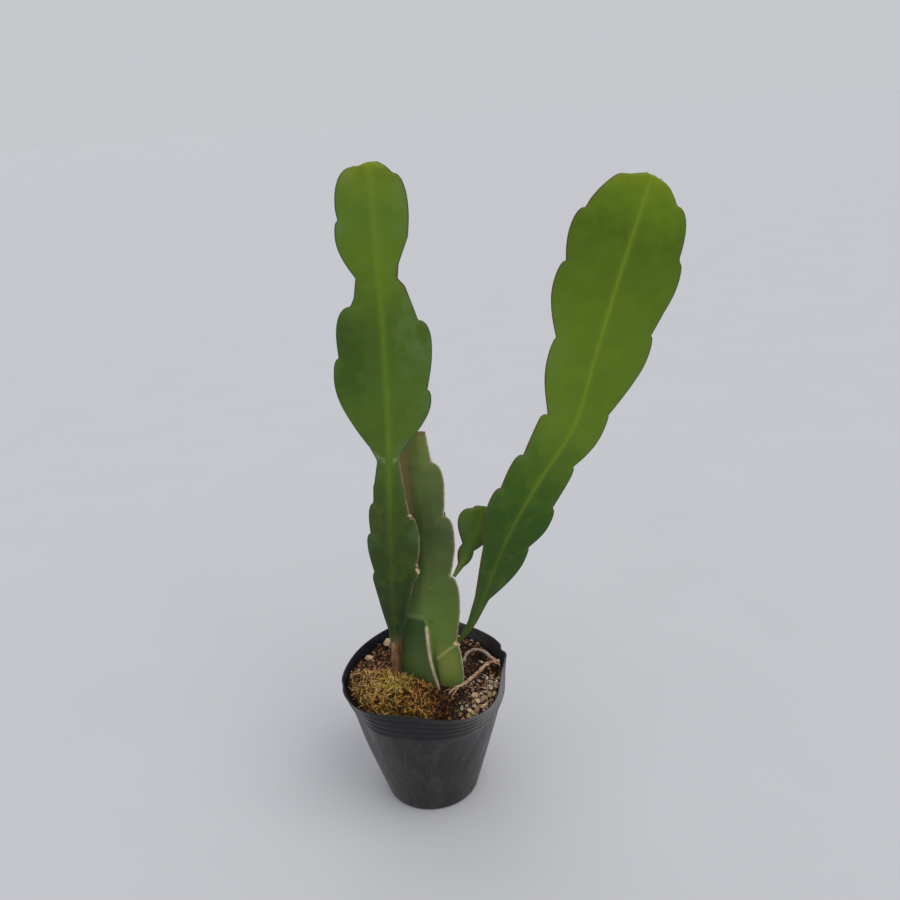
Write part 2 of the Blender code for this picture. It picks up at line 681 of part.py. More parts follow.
def main():
    for old in list(bpy.data.objects):
        bpy.data.objects.remove(old)
    holes = [stem_object("hole", stem, STEM_GAP, CUTTER_REACH) for stem in (MOTHER_PAD, LEFT_SHOOT)]
    pieces = [build_pot(), build_soil(holes + root_parts(STEM_GAP)), build_moss(), build_roots(),
              build_mother_pad(), *build_shoots()]
    plant = bpy.data.objects.new("potted_epiphyllum", None)
    bpy.context.scene.collection.objects.link(plant)
    for piece in pieces:
        piece.parent = plant


main()
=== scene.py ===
"""A young epiphyllum in its soft black nursery pot: the fine shapes and finishes.

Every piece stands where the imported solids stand. The tables below are in millimetres, in the
solids' own frame: the origin is the middle of the pot's flat base and +Z is up. Meshes are made
in millimetres and brought to metres in place_mesh.
"""
import json
import math
import random

import bmesh
import bpy
import numpy as np
from mathutils import Matrix, Vector, noise

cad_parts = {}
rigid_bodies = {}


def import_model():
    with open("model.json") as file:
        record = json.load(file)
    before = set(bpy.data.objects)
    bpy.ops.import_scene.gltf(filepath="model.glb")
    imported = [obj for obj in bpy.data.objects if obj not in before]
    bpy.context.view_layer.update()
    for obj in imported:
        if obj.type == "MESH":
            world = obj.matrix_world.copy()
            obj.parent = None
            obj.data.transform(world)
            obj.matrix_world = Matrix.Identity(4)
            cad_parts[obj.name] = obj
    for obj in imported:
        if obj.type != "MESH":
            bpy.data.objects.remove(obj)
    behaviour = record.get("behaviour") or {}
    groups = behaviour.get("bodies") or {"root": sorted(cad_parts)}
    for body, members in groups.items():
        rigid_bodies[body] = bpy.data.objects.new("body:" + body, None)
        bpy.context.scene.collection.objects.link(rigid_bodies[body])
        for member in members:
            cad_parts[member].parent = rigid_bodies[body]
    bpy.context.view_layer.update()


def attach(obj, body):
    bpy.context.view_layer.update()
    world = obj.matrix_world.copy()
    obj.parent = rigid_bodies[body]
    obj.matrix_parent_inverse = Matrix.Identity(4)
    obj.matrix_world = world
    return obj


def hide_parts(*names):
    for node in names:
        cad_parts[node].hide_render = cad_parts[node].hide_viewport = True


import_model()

MM = 0.001
FULL_TURN = 2 * math.pi

# Camera, at the photograph's viewing angle
EYE = (22.5, -424, 361)
PITCH = 20.7                  # degrees below level
ROLL = 4.0                    # degrees
LENS = 36.4
SENSOR = 36

# Pot
POT_HEIGHT = 76
BAND_BOTTOM = 60.5
TAPER = ((0, 25.4), (BAND_BOTTOM, 43.2), (POT_HEIGHT, 44.9))     # height, radius
WALL = 0.8
FLOOR = 1.0
BAND_STEP = 1.1
BAND_RINGS = 4
RING_PITCH = 3.2
RING_DEPTH = 0.42
RIM_WAVES = ((0, 1.16, 0), (1, 1.08, -52.2), (2, 2.01, 87.3), (3, 2.43, -41.2), (4, 2.08, 28),
             (5, 1.47, 11.6))     # lobes, swing, azimuth
RIM_BEND = 5.3                # how much the waves gather at the rim
BAND_PINCH = (-147.9, 20.5, 62.9, 18.2, -4.7)     # azimuth, its width, height, its width, push
RIM_FOLDS = ((15.0, 3.2, -1.3), (8.0, 3.4, 0.9), (196, 4.5, -0.7))     # azimuth, width, push
DRAIN_HOLES = 6
DRAIN_RADIUS = 2.5
DRAIN_CIRCLE = 16
DRILL_TURN = 0.07             # radians, so that no corner of a drill meets one of the floor
POT_SIDES = 168
DRILL_SIDES = 20
PROFILE_STEP = 0.36           # between points of the ringed band

# Potting mix
SOIL_LEVEL = 68.3
SOIL_RISE_TO_BACK = 1.8
SOIL_FALL_TO_RIGHT = 0.8
SOIL_RIPPLE = 0.5
SOIL_GAP = 0.35
MIX_SIDES = 120
MIX_LEVELS = (20, 40, 46, 52, 56)     # heights of the plain rings in the pot
MIX_HOLLOWS = ((30, 8, 9, 1), (21, -20, 5, 1))     # x, y, reach, strength
FOOT_ROOM = 2.5               # bare ground round the tall stem's foot
WING_ROOM = 2.2               # and round the old pad's wings

# Moss cushion
MOSS_MIDDLE = (-14, -17)
MOSS_REACH = (     # azimuth, distance from the middle
    (-221, 32), (-200, 34), (-90, 34), (-45, 34), (-30, 31), (-17, 28), (-5, 23), (8, 19.5),
    (29, 17), (56, 15.5), (92, 15.5), (110, 19), (124, 26), (139, 32), (160, 34), (190, 34))
MOSS_LIFT = 0.8
MOSS_HEIGHT = 4.2
MOSS_EDGE = 1.2
MOSS_WALL_GAP = 1.6
MOSS_SIDES = 96
MOSS_GAPS = ((-3, -12.4, 4.5, 1), (-24, -2, 3.5, 1), (-8, -21, 3, 1))     # x, y, reach, strength
MOSS_RUST = ((-3, -19, 8, 1), (-9, -27, 5, 0.5))
MOSS_PALE = ((-20, -12, 16, 1),)

# Stems
SHOULDER = 5.0                # where a wing thickens towards its midrib
EDGE = 0.45                   # half the thickness of a wing's margin
SHOULDER_CURVE = 2.2          # how square a lobe is above its crown
STEM_ROUND = 4.0              # up to this width a stem is round
STEM_FLAT = 10.0              # and from this width it is flat
VEIN_WIDTH = 1.3
SWAY_PITCH = 17

# Roots on the mix
ROOT_SIDES = 14
ROOT_STEP = 0.55
ROOT_BUMPS = 1.3
ROOTS = (    # points, radius, how much thinner at the end
    ([(10.5, -19, 65.5), (14.2, -16.6, 69.8), (21.6, -13.2, 72), (29, -4.6, 72), (36.3, 3, 73),
      (39.4, 2.6, 74)], 0.95, -0.3),
    ([(39.4, 2.6, 74), (41.2, 0, 73.2), (41.4, -3, 69.8), (40.8, -4.8, 66)], 0.5, 0.3),
    ([(39.2, 3.2, 73.8), (37, 8.6, 72.8), (34.9, 13.2, 72.4), (32, 17, 72.2), (27.6, 18.4, 71.8),
      (24, 16.4, 70.8), (22.4, 12.6, 69.6), (22.4, 9, 66)], 1.1, 0.25),
    ([(18.6, -14.8, 71.4), (16.5, -18, 71), (14.5, -21.5, 69.8), (13.8, -23.5, 66)], 0.5, 0.5),
    ([(19.5, -14.4, 71.6), (16.5, -15.6, 71.0), (13, -15.2, 70.4), (10, -15.6, 69.4)], 0.35, 0.6),
    ([(20.4, -13.6, 71.6), (17.4, -12.6, 70.6), (14.2, -12.4, 69.8), (11.4, -13.4, 69)], 0.3, 0.6),
)
KNOB = (40.0, 2.0, 74.0)      # where two of the roots meet
KNOB_SIZE = (2.1, 1.6, 1.5)


class Wing:
    """One flat wing of a stem: its azimuth low and high (or a table of it), and its outline. The
    outline has runs of (station, width) and lobes of (station and width of the crown, station and
    width of the notch above it)."""
    def __init__(self, low, high, outline, turns=None):
        self.low, self.high, self.outline, self.turns = low, high, outline, turns

    def azimuth(self, station, part):
        """The wing's direction in degrees, at a station and a part of the stem's length."""
        return level(self.turns, station) if self.turns else self.low + (self.high - self.low) * part

    def notches(self):
        """The station and width at each areole: the notch above each lobe."""
        return [step[2:] for step in self.outline[1:] if len(step) == 4]


class Path:
    """A smooth curve through a few points, read by the distance along it."""
    def __init__(self, points, buried=0.0, steps=24):
        knots = np.array(points, float)
        spans = np.linalg.norm(np.diff(knots, axis=0), axis=1)
        slopes = np.diff(knots, axis=0) / spans[:, None]
        before, after = spans[:-1, None], spans[1:, None]
        inner = (slopes[:-1] * after + slopes[1:] * before) / (before + after)
        tangents = np.vstack([slopes[0], inner, slopes[-1]])
        dense = []
        for i, span in enumerate(spans):
            for t in np.linspace(0, 1, steps, endpoint=False):
                bend = (t**3 - 2 * t**2 + t) * tangents[i] + (t**3 - t**2) * tangents[i + 1]
                share = 3 * t**2 - 2 * t**3
                dense.append((1 - share) * knots[i] + share * knots[i + 1] + span * bend)
        dense.append(knots[-1])
        self.points = np.array(dense)
        lengths = np.linalg.norm(np.diff(self.points, axis=0), axis=1)
        self.stations = np.concatenate([[0], np.cumsum(lengths)]) - buried
        self.start, self.end = self.stations[0], self.stations[-1]

    def read(self, station):
        """The point at a station within the curve."""
        return Vector([np.interp(station, self.stations, values) for values in self.points.T])

    def at(self, station):
        """The point at a station. Beyond either end the curve runs straight on."""
        inside = min(max(station, self.start), self.end)
        return self.read(inside) + self.along(inside) * (station - inside)

    def along(self, station):
        """The direction of the curve at a station."""
        low, high = max(station - 1, self.start), min(station + 1, self.end)
        return (self.read(high) - self.read(low)).normalized()


class Stem:
    """A stem: points on its midrib, how much is buried, its midrib's thickness, and its wings."""
    def __init__(self, points, buried, core, wings, sway=0.0, vein=0.1, swell=0.25, flesh=1.15, slant=1.1,
                 fold=((0, 0),)):
        self.path = Path(points, buried)
        self.core, self.wings, self.sway = core, wings, sway
        self.vein = vein      # height of the side veins
        self.swell = swell    # how much the flesh swells and sinks
        self.flesh = flesh    # half the thickness of the flat part, near the midrib
        self.slant = slant    # how far down a side vein starts, as a share of the wing's width
        self.fold = fold      # degrees by which the wings sweep back, along the stem


MOTHER_PAD = Stem(
    points=[(5.5, -7.5, 46), (4.5, -5, 66), (3.5, -1.5, 102), (4.5, 2, 134), (4.5, 6, 165), (4, 9.5, 192),
            (3.5, 12, 216)],
    buried=20.2,
    core=[(-20, 2.6), (0, 2.9), (40, 2.6), (150, 2.0)],
    wings=[
        Wing(-20, -20, [(-20, 13), (-2, 17.5), (12, 18.6, 27, 16), (53, 19.5, 66, 14.8),
                        (87, 18.5, 98.5, 13.4), (116, 15, 126.5, 9.4), (150, 6.5)]),
        Wing(143, 145, [(-20, 10), (-3, 19), (3, 22), (10, 22), (24, 19.5), (37, 14), (62, 18.5, 74, 14.5),
                        (94, 16.5, 105, 11.5), (122, 13, 131, 10.5), (150, 10)]),
        Wing(302, 275, [(-20, 6), (0, 6.6), (12, 5.8), (28, 5, 41.6, 1.4), (150, 1)],
             turns=((0, 302), (3, 300), (8, 292), (12, 284), (18, 275), (24, 271), (40, 269), (150, 275))),
    ],
    sway=1.5, vein=0.35, swell=0.35, flesh=1.75, slant=0.8)
PAD_CUTS = (    # a point on each cut across its top, and the way that the cut faces
    ((8.5, 8.5, 208.2), (-0.05, 0.12, 1.0)),
    ((6.5, 9.5, 208.5), (-0.65, 0.48, 0.59)),
)

LEFT_SHOOT = Stem(
    points=[(-20, 2, 50), (-16, 4, 69.5), (-13, -0.5, 115), (-10.5, -3, 158), (-8, -3.5, 197),
            (-6, -3.5, 233), (-5, -4, 266.5), (-5, -2.5, 304.5), (-4.5, -0.5, 340)],
    buried=19.7,
    core=[(-20, 2.3), (18, 2.5), (60, 2.3), (130, 2.5), (200, 2.1), (221, 2.4), (262, 1.6), (269, 1.0),
          (271.6, 0.5)],
    wings=[
        Wing(-15, 4, [(-20, 2.3), (0, 2.3), (19, 3), (31, 4.5), (62, 11.5), (68, 14, 73, 13.2),
                      (84, 14.9, 100.5, 9.8), (115, 7.3), (132, 5), (140, 10.3),
                      (161, 21.5, 165.5, 19.7), (188, 22.8, 199.5, 17), (216, 12), (219.5, 9),
                      (226, 10), (238, 15.3), (250, 16.4, 266.5, 10.1), (268, 8.9), (269.9, 6.8),
                      (271, 5.2), (271.6, 3.9)]),
        Wing(165, 184, [(-20, 2.3), (0, 2.3), (19, 3), (31, 4), (60, 10.5), (62, 10.8, 66, 9.8),
                        (84, 12.9, 89, 10.9), (98, 11.4, 106.5, 8.9), (111, 8.6, 117, 8), (130, 6),
                        (137, 9.5), (171, 25.9, 182, 22.7), (190, 23, 208, 14.4), (212, 12.3),
                        (221, 10.5), (240, 18, 247, 16), (253, 16.8, 269.9, 7.4), (270.1, 5.4),
                        (270.5, 3.4), (270.9, 1.2), (271.6, 0.5)]),
    ],
    sway=2.5, fold=[(130, 0), (150, 8), (200, 8), (222, 3), (271, 3)])

RIGHT_SHOOT = Stem(
    points=[(20.1, -8.45, 95.4), (27, -10.5, 106.5), (31.5, -11, 117), (48, -10, 156), (66, -9.5, 187),
            (82, -8.5, 211), (93.5, -7, 245), (106, -4, 283), (117, -1.5, 314), (121.5, -0.5, 326)],
    buried=0,
    core=[(0, 1.0), (12, 1.9), (58, 2.3), (200, 2.0), (240, 1.5), (253.7, 0.6)],
    wings=[
        Wing(10, 5, [(0, 1.0), (3, 1.6), (12, 2.2), (30, 4.2), (57, 15.2, 64, 14), (79, 18.5, 90, 15.2),
                     (103, 15.3, 115, 12.6), (134, 16.8, 142, 16), (175, 26, 184, 24), (197, 27),
                     (211, 29.4, 220, 27.3), (223, 26.3, 244.5, 16.8), (247.6, 14.2), (250.7, 10.7),
                     (252.2, 8), (252.8, 5.9), (252.9, 4.2), (253.3, 3.2), (253.7, 1.6)]),
        Wing(190, 185, [(0, 1.0), (3, 1.6), (12, 2.2), (30, 4), (58, 9.2), (84, 16.8, 89, 14.8),
                        (104, 16.4, 108.5, 13.8), (130, 17.2, 134.5, 14.2), (163, 21.8, 172.5, 20.2),
                        (198, 28.6, 207.5, 25.8), (222, 28.8, 232, 24.8), (236.7, 23.6), (241.9, 21.1),
                        (246, 18.4), (249, 16.1), (250.5, 13.8), (251.2, 11.4), (251.3, 9.6), (252, 8.2),
                        (253.2, 5.2), (253.7, 3.4)]),
    ],
    sway=2.5, fold=[(0, 0), (60, 4), (130, 2), (254, 2)])

SMALL_SHOOT = Stem(
    points=[(19.95, -3.45, 131.6), (26, 1.5, 139.5), (31.5, 4.5, 150), (35.9, 7.4, 162.5),
            (36.6, 7.9, 165.5)],
    buried=0,
    core=[(0, 0.9), (8, 1.3), (20, 1.6), (39.5, 0.8)],
    wings=[
        Wing(5, 12, [(0, 0.9), (7, 2), (12.5, 3.8, 16, 3), (31, 10.5, 38, 5.5), (39.5, 3)]),
        Wing(185, 192, [(0, 0.9), (7, 1.6), (14.5, 4.8, 17.5, 3.9), (31.5, 10.8, 38.5, 5),
                        (39.5, 3)]),
    ])


TIP_TEETH = (    # stem, then the station, offset and size of each tooth
    (LEFT_SHOOT, ((270.0, -6.4, 0.7), (270.6, -2.7, 1.2), (271.0, -0.8, 1.2), (271.3, 0.4, 0.6),
                  (271.6, 2.4, 0.7))),
    (RIGHT_SHOOT, ((253.4, -3.2, 0.9), (253.9, -2.1, 1.2), (253.7, -0.5, 0.8), (253.6, 1.3, 0.9),
                   (252.9, 3.9, 0.9), (253.1, 4.9, 1.0))),
)
AREOLE_KNOBS = (    # the same of each woolly knob
    (MOTHER_PAD, ((27.3, 15.8, 2.1), (26.2, 17.2, 1.3), (66.3, 14.8, 1.0), (98.6, 13.5, 0.9))),
    (LEFT_SHOOT, ((69.6, 13.3, 1.5), (68.5, 13.6, 1.4), (70.7, 13.1, 1.2), (100.8, 9.9, 1.2),
                  (99.0, 10.6, 0.8))),
)
PAD_SPINES = (    # and of each old spine
    (MOTHER_PAD, ((98.9, 13.9, 2.6), (98.6, 13.4, 1.5), (27.4, 16.4, 1.3), (27.0, 15.8, 1.0))),
)


# Node wiring

class Wire:
    """The output of a node, which arithmetic can be written on."""
    def __init__(self, board, socket):
        self.board, self.socket = board, socket

    def maths(self, operation, *values):
        """One Math node on the values."""
        return self.board.node("ShaderNodeMath", {"operation": operation}, dict(enumerate(values)))

    def __add__(self, other):
        return self.maths("ADD", self, other)

    def __radd__(self, other):
        return self.maths("ADD", other, self)

    def __sub__(self, other):
        return self.maths("SUBTRACT", self, other)

    def __rsub__(self, other):
        return self.maths("SUBTRACT", other, self)

    def __mul__(self, other):
        return self.maths("MULTIPLY", self, other)

    def __rmul__(self, other):
        return self.maths("MULTIPLY", other, self)

    def __truediv__(self, other):
        return self.maths("DIVIDE", self, other)

    def __rtruediv__(self, other):
        return self.maths("DIVIDE", other, self)

    def __pow__(self, other):
        return self.maths("POWER", self, other)

    def cos(self):
        return self.maths("COSINE", self)

    def sin(self):
        return self.maths("SINE", self)

    def whole(self):
        return self.maths("ROUND", self)

    def larger(self, other):
        return self.maths("MAXIMUM", self, other)

    def rise(self, low, high):
        """0 below low, 1 above high, smooth between. High below low turns it over."""
        return self.board.node("ShaderNodeMapRange", {"interpolation_type": "SMOOTHSTEP", "clamp": True},
                               {"Value": self, "From Min": low, "From Max": high})

    def bell(self, width):
        """1 where the value is 0, falling off on both sides over a width."""
        scaled = self / width
        return 1 / (1 + scaled * scaled * scaled * scaled)

    def part(self, axis):
        """One coordinate of a vector."""
        return self.board.node("ShaderNodeSeparateXYZ", sockets={0: self}, out=axis)


class Board:
    """The nodes of one material or one Geometry Nodes tree."""
    def __init__(self, tree):
        self.tree = tree

    def node(self, kind, settings=None, sockets=None, out=0):
        """A new node: its settings first, then the values or links of its sockets."""
        made = self.tree.nodes.new(kind)
        for name, value in (settings or {}).items():
            if name == "stops":
                set_stops(made.color_ramp, value)
            else:
                setattr(made, name, value)
        for name, value in (sockets or {}).items():
            if isinstance(value, Wire):
                self.tree.links.new(value.socket, made.inputs[name])
            else:
                made.inputs[name].default_value = value
        return Wire(self, made.outputs[out])

    def ramp(self, value, *stops):
        """A colour read from stops of (position, sRGB colour from 0 to 255)."""
        return self.node("ShaderNodeValToRGB", {"stops": stops}, {0: value})

    def mix(self, share, low, high):
        """A blend of two colours, each a wire or an sRGB colour."""
        low, high = (colour if isinstance(colour, Wire) else linear(colour) for colour in (low, high))
        return self.node("ShaderNodeMix", {"data_type": "RGBA"}, {0: share, 6: low, 7: high}, out=2)

    def dim(self, colour, share):
        """A colour times a number."""
        grey = self.node("ShaderNodeCombineXYZ", sockets={0: share, 1: share, 2: share})
        return self.node("ShaderNodeVectorMath", {"operation": "MULTIPLY"}, {0: colour, 1: grey})

    def attribute(self, name):
        """A number that the piece holds at each of its points."""
        return self.node("ShaderNodeAttribute", {"attribute_name": name}, out=2)

    def place(self, scale=(1, 1, 1)):
        """Object coordinates in millimetres, stretched by a scale."""
        spot = self.node("ShaderNodeTexCoord", out=3)
        stretch = tuple(value / MM for value in scale)
        return self.node("ShaderNodeMapping", sockets={"Vector": spot, "Scale": stretch})

    def noise(self, size, detail=3, roughness=0.55, scale=(1, 1, 1)):
        """Noise from 0 to 1 whose spots are about this many millimetres wide."""
        return self.node("ShaderNodeTexNoise",
                         sockets={"Vector": self.place(scale), "Scale": 1 / size, "Detail": detail,
                                  "Roughness": roughness})

    def chance(self, seed, low, high, kind="FLOAT"):
        """A random number for each point."""
        first, out = {"FLOAT": (2, 1), "INT": (4, 2)}[kind]
        return self.node("FunctionNodeRandomValue", {"data_type": kind},
                         {first: low, first + 1: high, "Seed": seed}, out=out)

    def cells(self, size):
        """The distance from the middle of the nearest of many cells of about this size."""
        return self.node("ShaderNodeTexVoronoi", sockets={"Vector": self.place(), "Scale": 1 / size})


def linear(colour):
    """An sRGB colour from 0 to 255 as the linear colour of a socket."""
    return (*(((part / 255 + 0.055) / 1.055) ** 2.4 if part > 10 else part / 255 / 12.92
              for part in colour), 1)


def set_stops(ramp, stops):
    """Gives a colour ramp its stops."""
    while len(ramp.elements) < len(stops):
        ramp.elements.new(0.5)
    for element, (position, colour) in zip(ramp.elements, stops):
        element.position, element.color = position, linear(colour)


def finish_of(name, paint, specular):
    """A material. Paint wires the board and returns its colour, roughness and bump height."""
    made = bpy.data.materials.new(name)
    made.use_nodes = True
    board = Board(made.node_tree)
    shader = made.node_tree.nodes["Principled BSDF"]
    shader.inputs["Specular IOR Level"].default_value = specular
    colour, roughness, height = paint(board)
    for socket, value in (("Base Color", colour), ("Roughness", roughness)):
        if isinstance(value, Wire):
            made.node_tree.links.new(value.socket, shader.inputs[socket])
        else:
            shader.inputs[socket].default_value = value
    if height is not None:
        bump = board.node("ShaderNodeBump", sockets={"Height": height, "Strength": 1.0, "Distance": MM})
        made.node_tree.links.new(bump.socket, shader.inputs["Normal"])
    return made


# Meshes

def place_mesh(name, points, faces, attributes=None, smooth=True):
    """A piece from points in millimetres, with number attributes on its points."""
    mesh = bpy.data.meshes.new(name)
    mesh.from_pydata([Vector(point) * MM for point in points], [], faces)
    for label, values in (attributes or {}).items():
        mesh.attributes.new(label, "FLOAT", "POINT").data.foreach_set("value", np.array(values, float))
    mesh.shade_smooth() if smooth else mesh.shade_flat()
    made = bpy.data.objects.new(name, mesh)
    bpy.context.scene.collection.objects.link(made)
    return made


def bands(rows, sides):
    """The four-cornered faces between rings of points that lie row after row."""
    starts = [(row * sides + side, row * sides + (side + 1) % sides)
              for row in range(rows - 1) for side in range(sides)]
    return [(a, b, b + sides, a + sides) for a, b in starts]


def loft(rings):
    """Faces of a closed skin over rings of equal count, each end closed by a fan on an added point."""
    count = len(rings[0])
    points = [point for ring in rings for point in ring]
    faces = bands(len(rings), count)
    for ring, offset, first in ((rings[0], 0, True), (rings[-1], (len(rings) - 1) * count, False)):
        points.append(sum(ring, Vector()) / count)
        for column in range(count):
            a, b = offset + column, offset + (column + 1) % count
            faces.append((b, a, len(points) - 1) if first else (a, b, len(points) - 1))
    return points, faces


def level(table, station):
    """A value read from a short table of (station, value)."""
    stations, values = zip(*table)
    return float(np.interp(station, stations, values))


def smoothstep(value):
    """0 below 0, 1 above 1, smooth between."""
    value = min(max(value, 0.0), 1.0)
    return value * value * (3 - 2 * value)


def rise(value, low, high):
    """0 below low, 1 above high, smooth between. High below low turns it over."""
    return smoothstep((value - low) / (high - low))


def turn_point(radius, azimuth, z=0.0):
    """The point at a distance from the axis, in a direction round it."""
    return Vector((radius * math.cos(azimuth), radius * math.sin(azimuth), z))


def azimuths(sides):
    """Even directions all the way round, in radians."""
    return [FULL_TURN * side / sides for side in range(sides)]


def half_width(outline, station):
    """How far a wing reaches from the midrib at a station."""
    start, width = outline[0]
    for step in outline[1:]:
        end, narrow = step[-2:]
        if station <= end:
            if station <= start:
                return width
            if len(step) == 2:
                return width + (narrow - width) * (station - start) / (end - start)
            crown, full = step[:2]
            if station <= crown:
                climb = (station - start) / (crown - start)
                return width + (full - width) * math.sin(math.pi / 2 * climb)
            fall = (station - crown) / (end - crown)
            return narrow + (full - narrow) * (1 - fall**SHOULDER_CURVE) ** (1 / SHOULDER_CURVE)
        start, width = end, narrow
    return width


# Stems

ROUND_SHOULDER = 0.78         # half the thickness of a round stem, as a share of its midrib's
ROUND_MARGIN = 0.35           # and at its margins
BARE_INSET = 9                # what the midrib's skin counts as its distance from a margin
BEND_REACH = 0.38             # how far each end's direction carries into a curve
NOTCH_RINGS = (-1.2, -0.7, -0.35, -0.12, 0.0, 0.3)     # extra rings about each notch
FLAT_COLUMNS = (0.012, 0.03, 0.06, 0.1, 0.16, 0.23, 0.31, 0.4, 0.5, 0.6, 0.7, 0.8, 0.9, 1.0)
CORE_COLUMNS = (0.2, 0.4, 0.6, 0.8)


def wing_frames(stem, station):
    """The midrib's place, two directions across it, and each wing's angle between them."""
    centre, along = stem.path.at(station), stem.path.along(station)
    part = rise(station, stem.path.start, stem.path.end)
    swing = stem.sway * math.sin(station / SWAY_PITCH)
    fold = level(stem.fold, station)
    outs = []
    for wing, swept in zip(stem.wings, (fold, -fold, 0)):
        azimuth = math.radians(wing.azimuth(station, part) + swing + swept)
        flat = Vector((math.cos(azimuth), math.sin(azimuth), 0))
        outs.append((flat - along * flat.dot(along)).normalized())
    across, beyond = outs[0], along.cross(outs[0])
    later = [math.atan2(out.dot(beyond), out.dot(across)) % FULL_TURN for out in outs[1:]]
    return centre, across, beyond, [0.0, *later, FULL_TURN]


def vein_at(stem, wing, station, out):
    """How much a side vein shows at a place on a wing, from 0 to 1."""
    shown = 0.0
    for notch, reach in wing.notches():
        share = min(out / max(reach, 1), 1)
        line = notch - 0.8 - stem.slant * reach * (1 - share) ** 1.15
        off = (station - line) / VEIN_WIDTH
        shown = max(shown, math.exp(-off * off) * smoothstep(share * 3.5))
    return shown


def skin_ring(stem, station):
    """Points of the fine outline of a stem. Each comes with its distances from the midrib and from
    the margin, the strength of the side vein there, its wing, and the face between two wings."""
    centre, across, beyond, angles = wing_frames(stem, station)
    core = level(stem.core, station)
    ring = []

    def put(x, y, out, inset, vein, place, face):
        ring.append((centre + across * x + beyond * y, out, inset, vein, place, face))

    sides = []
    for place, wing in enumerate(stem.wings):
        angle, following = angles[place], angles[place + 1]
        previous = angles[place - 1] if place else angles[-2] - FULL_TURN
        room = min(following - angle, angle - previous)
        width = max(half_width(wing.outline, station), core * 1.02)
        flatness = rise(width, STEM_ROUND, STEM_FLAT)
        shoulder = min(SHOULDER, 0.6 * width)
        limit = math.tan(min(room * 0.33, 1.2))
        full, slim = core * ROUND_SHOULDER, core * ROUND_MARGIN
        thick = min(full + (stem.flesh - full) * flatness, shoulder * limit)
        thin = min(slim + (EDGE - slim) * flatness, width * limit * 0.5)
        cos, sin = math.cos(angle), math.sin(angle)
        for side in (-1, 1):
            row = [(width, 0.0), (width - 0.3 * thin, 0.75 * thin)]
            for share in FLAT_COLUMNS:
                out = width - thin + (shoulder - width + thin) * share
                aside = thin + (thick - thin) * share
                wave = noise.noise(Vector((out / 9, station / 16, side * 3 + place * 7)))
                flesh = smoothstep((width - out) / 3)
                vein = stem.vein * vein_at(stem, wing, station, out)
                row.append((out, aside + flesh * flatness * (stem.swell * wave + vein)))
            sides.append((place, side, width, row, (cos, sin)))

    def corner(entry, out, aside):
        cos, sin = entry[4]
        return out * cos - entry[1] * aside * sin, out * sin + entry[1] * aside * cos

    for index in range(len(stem.wings)):
        minus, plus = sides[index * 2], sides[index * 2 + 1]
        after = sides[(index * 2 + 2) % len(sides)]
        wing = stem.wings[index]
        plain = 6 * smoothstep((1.7 * core - plus[2]) / (0.5 * core))
        for entry in (minus, plus):
            row = entry[3] if entry is plus else entry[3][:0:-1]
            for out, aside in row:
                x, y = corner(entry, out, aside)
                face = index if entry is plus else (index - 1) % len(stem.wings)
                put(x, y, out, entry[2] - out + plain, vein_at(stem, wing, station, out), index, face)
        between = (angles[index] + angles[index + 1]) / 2
        middle = Vector((math.cos(between), math.sin(between))) * core
        tangent = Vector((-math.sin(between), math.cos(between)))
        start, end = Vector(corner(plus, *plus[3][-1])), Vector(corner(after, *after[3][-1]))
        leave = (start - Vector(corner(plus, *plus[3][-3]))).normalized()
        arrive = (Vector(corner(after, *after[3][-3])) - end).normalized()
        for first, last, out_way, in_way in ((start, middle, leave, tangent),
                                             (middle, end, tangent, arrive)):
            reach = (last - first).length * BEND_REACH
            controls = (first, first + out_way * reach, last - in_way * reach, last)
            for share in CORE_COLUMNS:
                x, y = bezier(controls, share)
                put(x, y, (Vector((x, y)) - middle).length, BARE_INSET, 0.0, index, index)
            if last is middle:
                put(middle.x, middle.y, 0.0, BARE_INSET, 0.0, index, index)
        if index == 1:
            melt_from = len(ring) - 2 * len(CORE_COLUMNS) - 1
            melt_start, melt_leave = start, leave
        melt_end, melt_arrive = end, arrive
    if len(stem.wings) < 3:
        return ring

    # where the third wing has ended, the skin runs straight across from the second wing to the first
    ended = smoothstep((core * 1.6 - half_width(stem.wings[2].outline, station)) / (core * 0.6))
    between = (angles[1] + FULL_TURN) / 2
    middle = Vector((math.cos(between), math.sin(between))) * core * 0.95
    tangent = Vector((-math.sin(between), math.cos(between)))
    span = len(ring) - melt_from
    for step in range(span):
        share = 2 * (step + 1) / (span + 1)
        first, last, out_way, in_way = ((melt_start, middle, melt_leave, tangent) if share < 1 else
                                        (middle, melt_end, tangent, melt_arrive))
        reach = (last - first).length * BEND_REACH
        x, y = bezier((first, first + out_way * reach, last - in_way * reach, last), share % 1)
        place, out, inset, vein, wing, face = ring[melt_from + step]
        flat = centre + across * x + beyond * y
        ring[melt_from + step] = (place.lerp(flat, ended), out + (abs(share - 1) * 6 - out) * ended,
                                  inset + (BARE_INSET - inset) * ended, vein * (1 - ended), wing, face)
    return ring


def bezier(controls, share):
    """A point on a flat curve through two ends, drawn by four control points."""
    rest = 1 - share
    weights = (rest**3, 3 * rest**2 * share, 3 * rest * share**2, share**3)
    return sum((point * weight for point, weight in zip(controls, weights)), Vector((0, 0)))


def fine_stations(stem, spacing):
    """Rings at an even spacing, and closer about each notch."""
    close = set()
    for wing in stem.wings:
        for notch, _ in wing.notches():
            close.update(notch + off for off in NOTCH_RINGS)
    close = sorted(station for station in close if stem.path.start < station < stem.path.end)
    count = round((stem.path.end - stem.path.start) / spacing)
    even = [station for station in np.linspace(stem.path.start, stem.path.end, count)
            if all(abs(station - other) > spacing * 0.3 for other in close)
            or station in (stem.path.start, stem.path.end)]
    made = []
    for station in sorted([*even, *close]):
        if not made or station - made[-1] > 0.1:
            made.append(station)
    return made


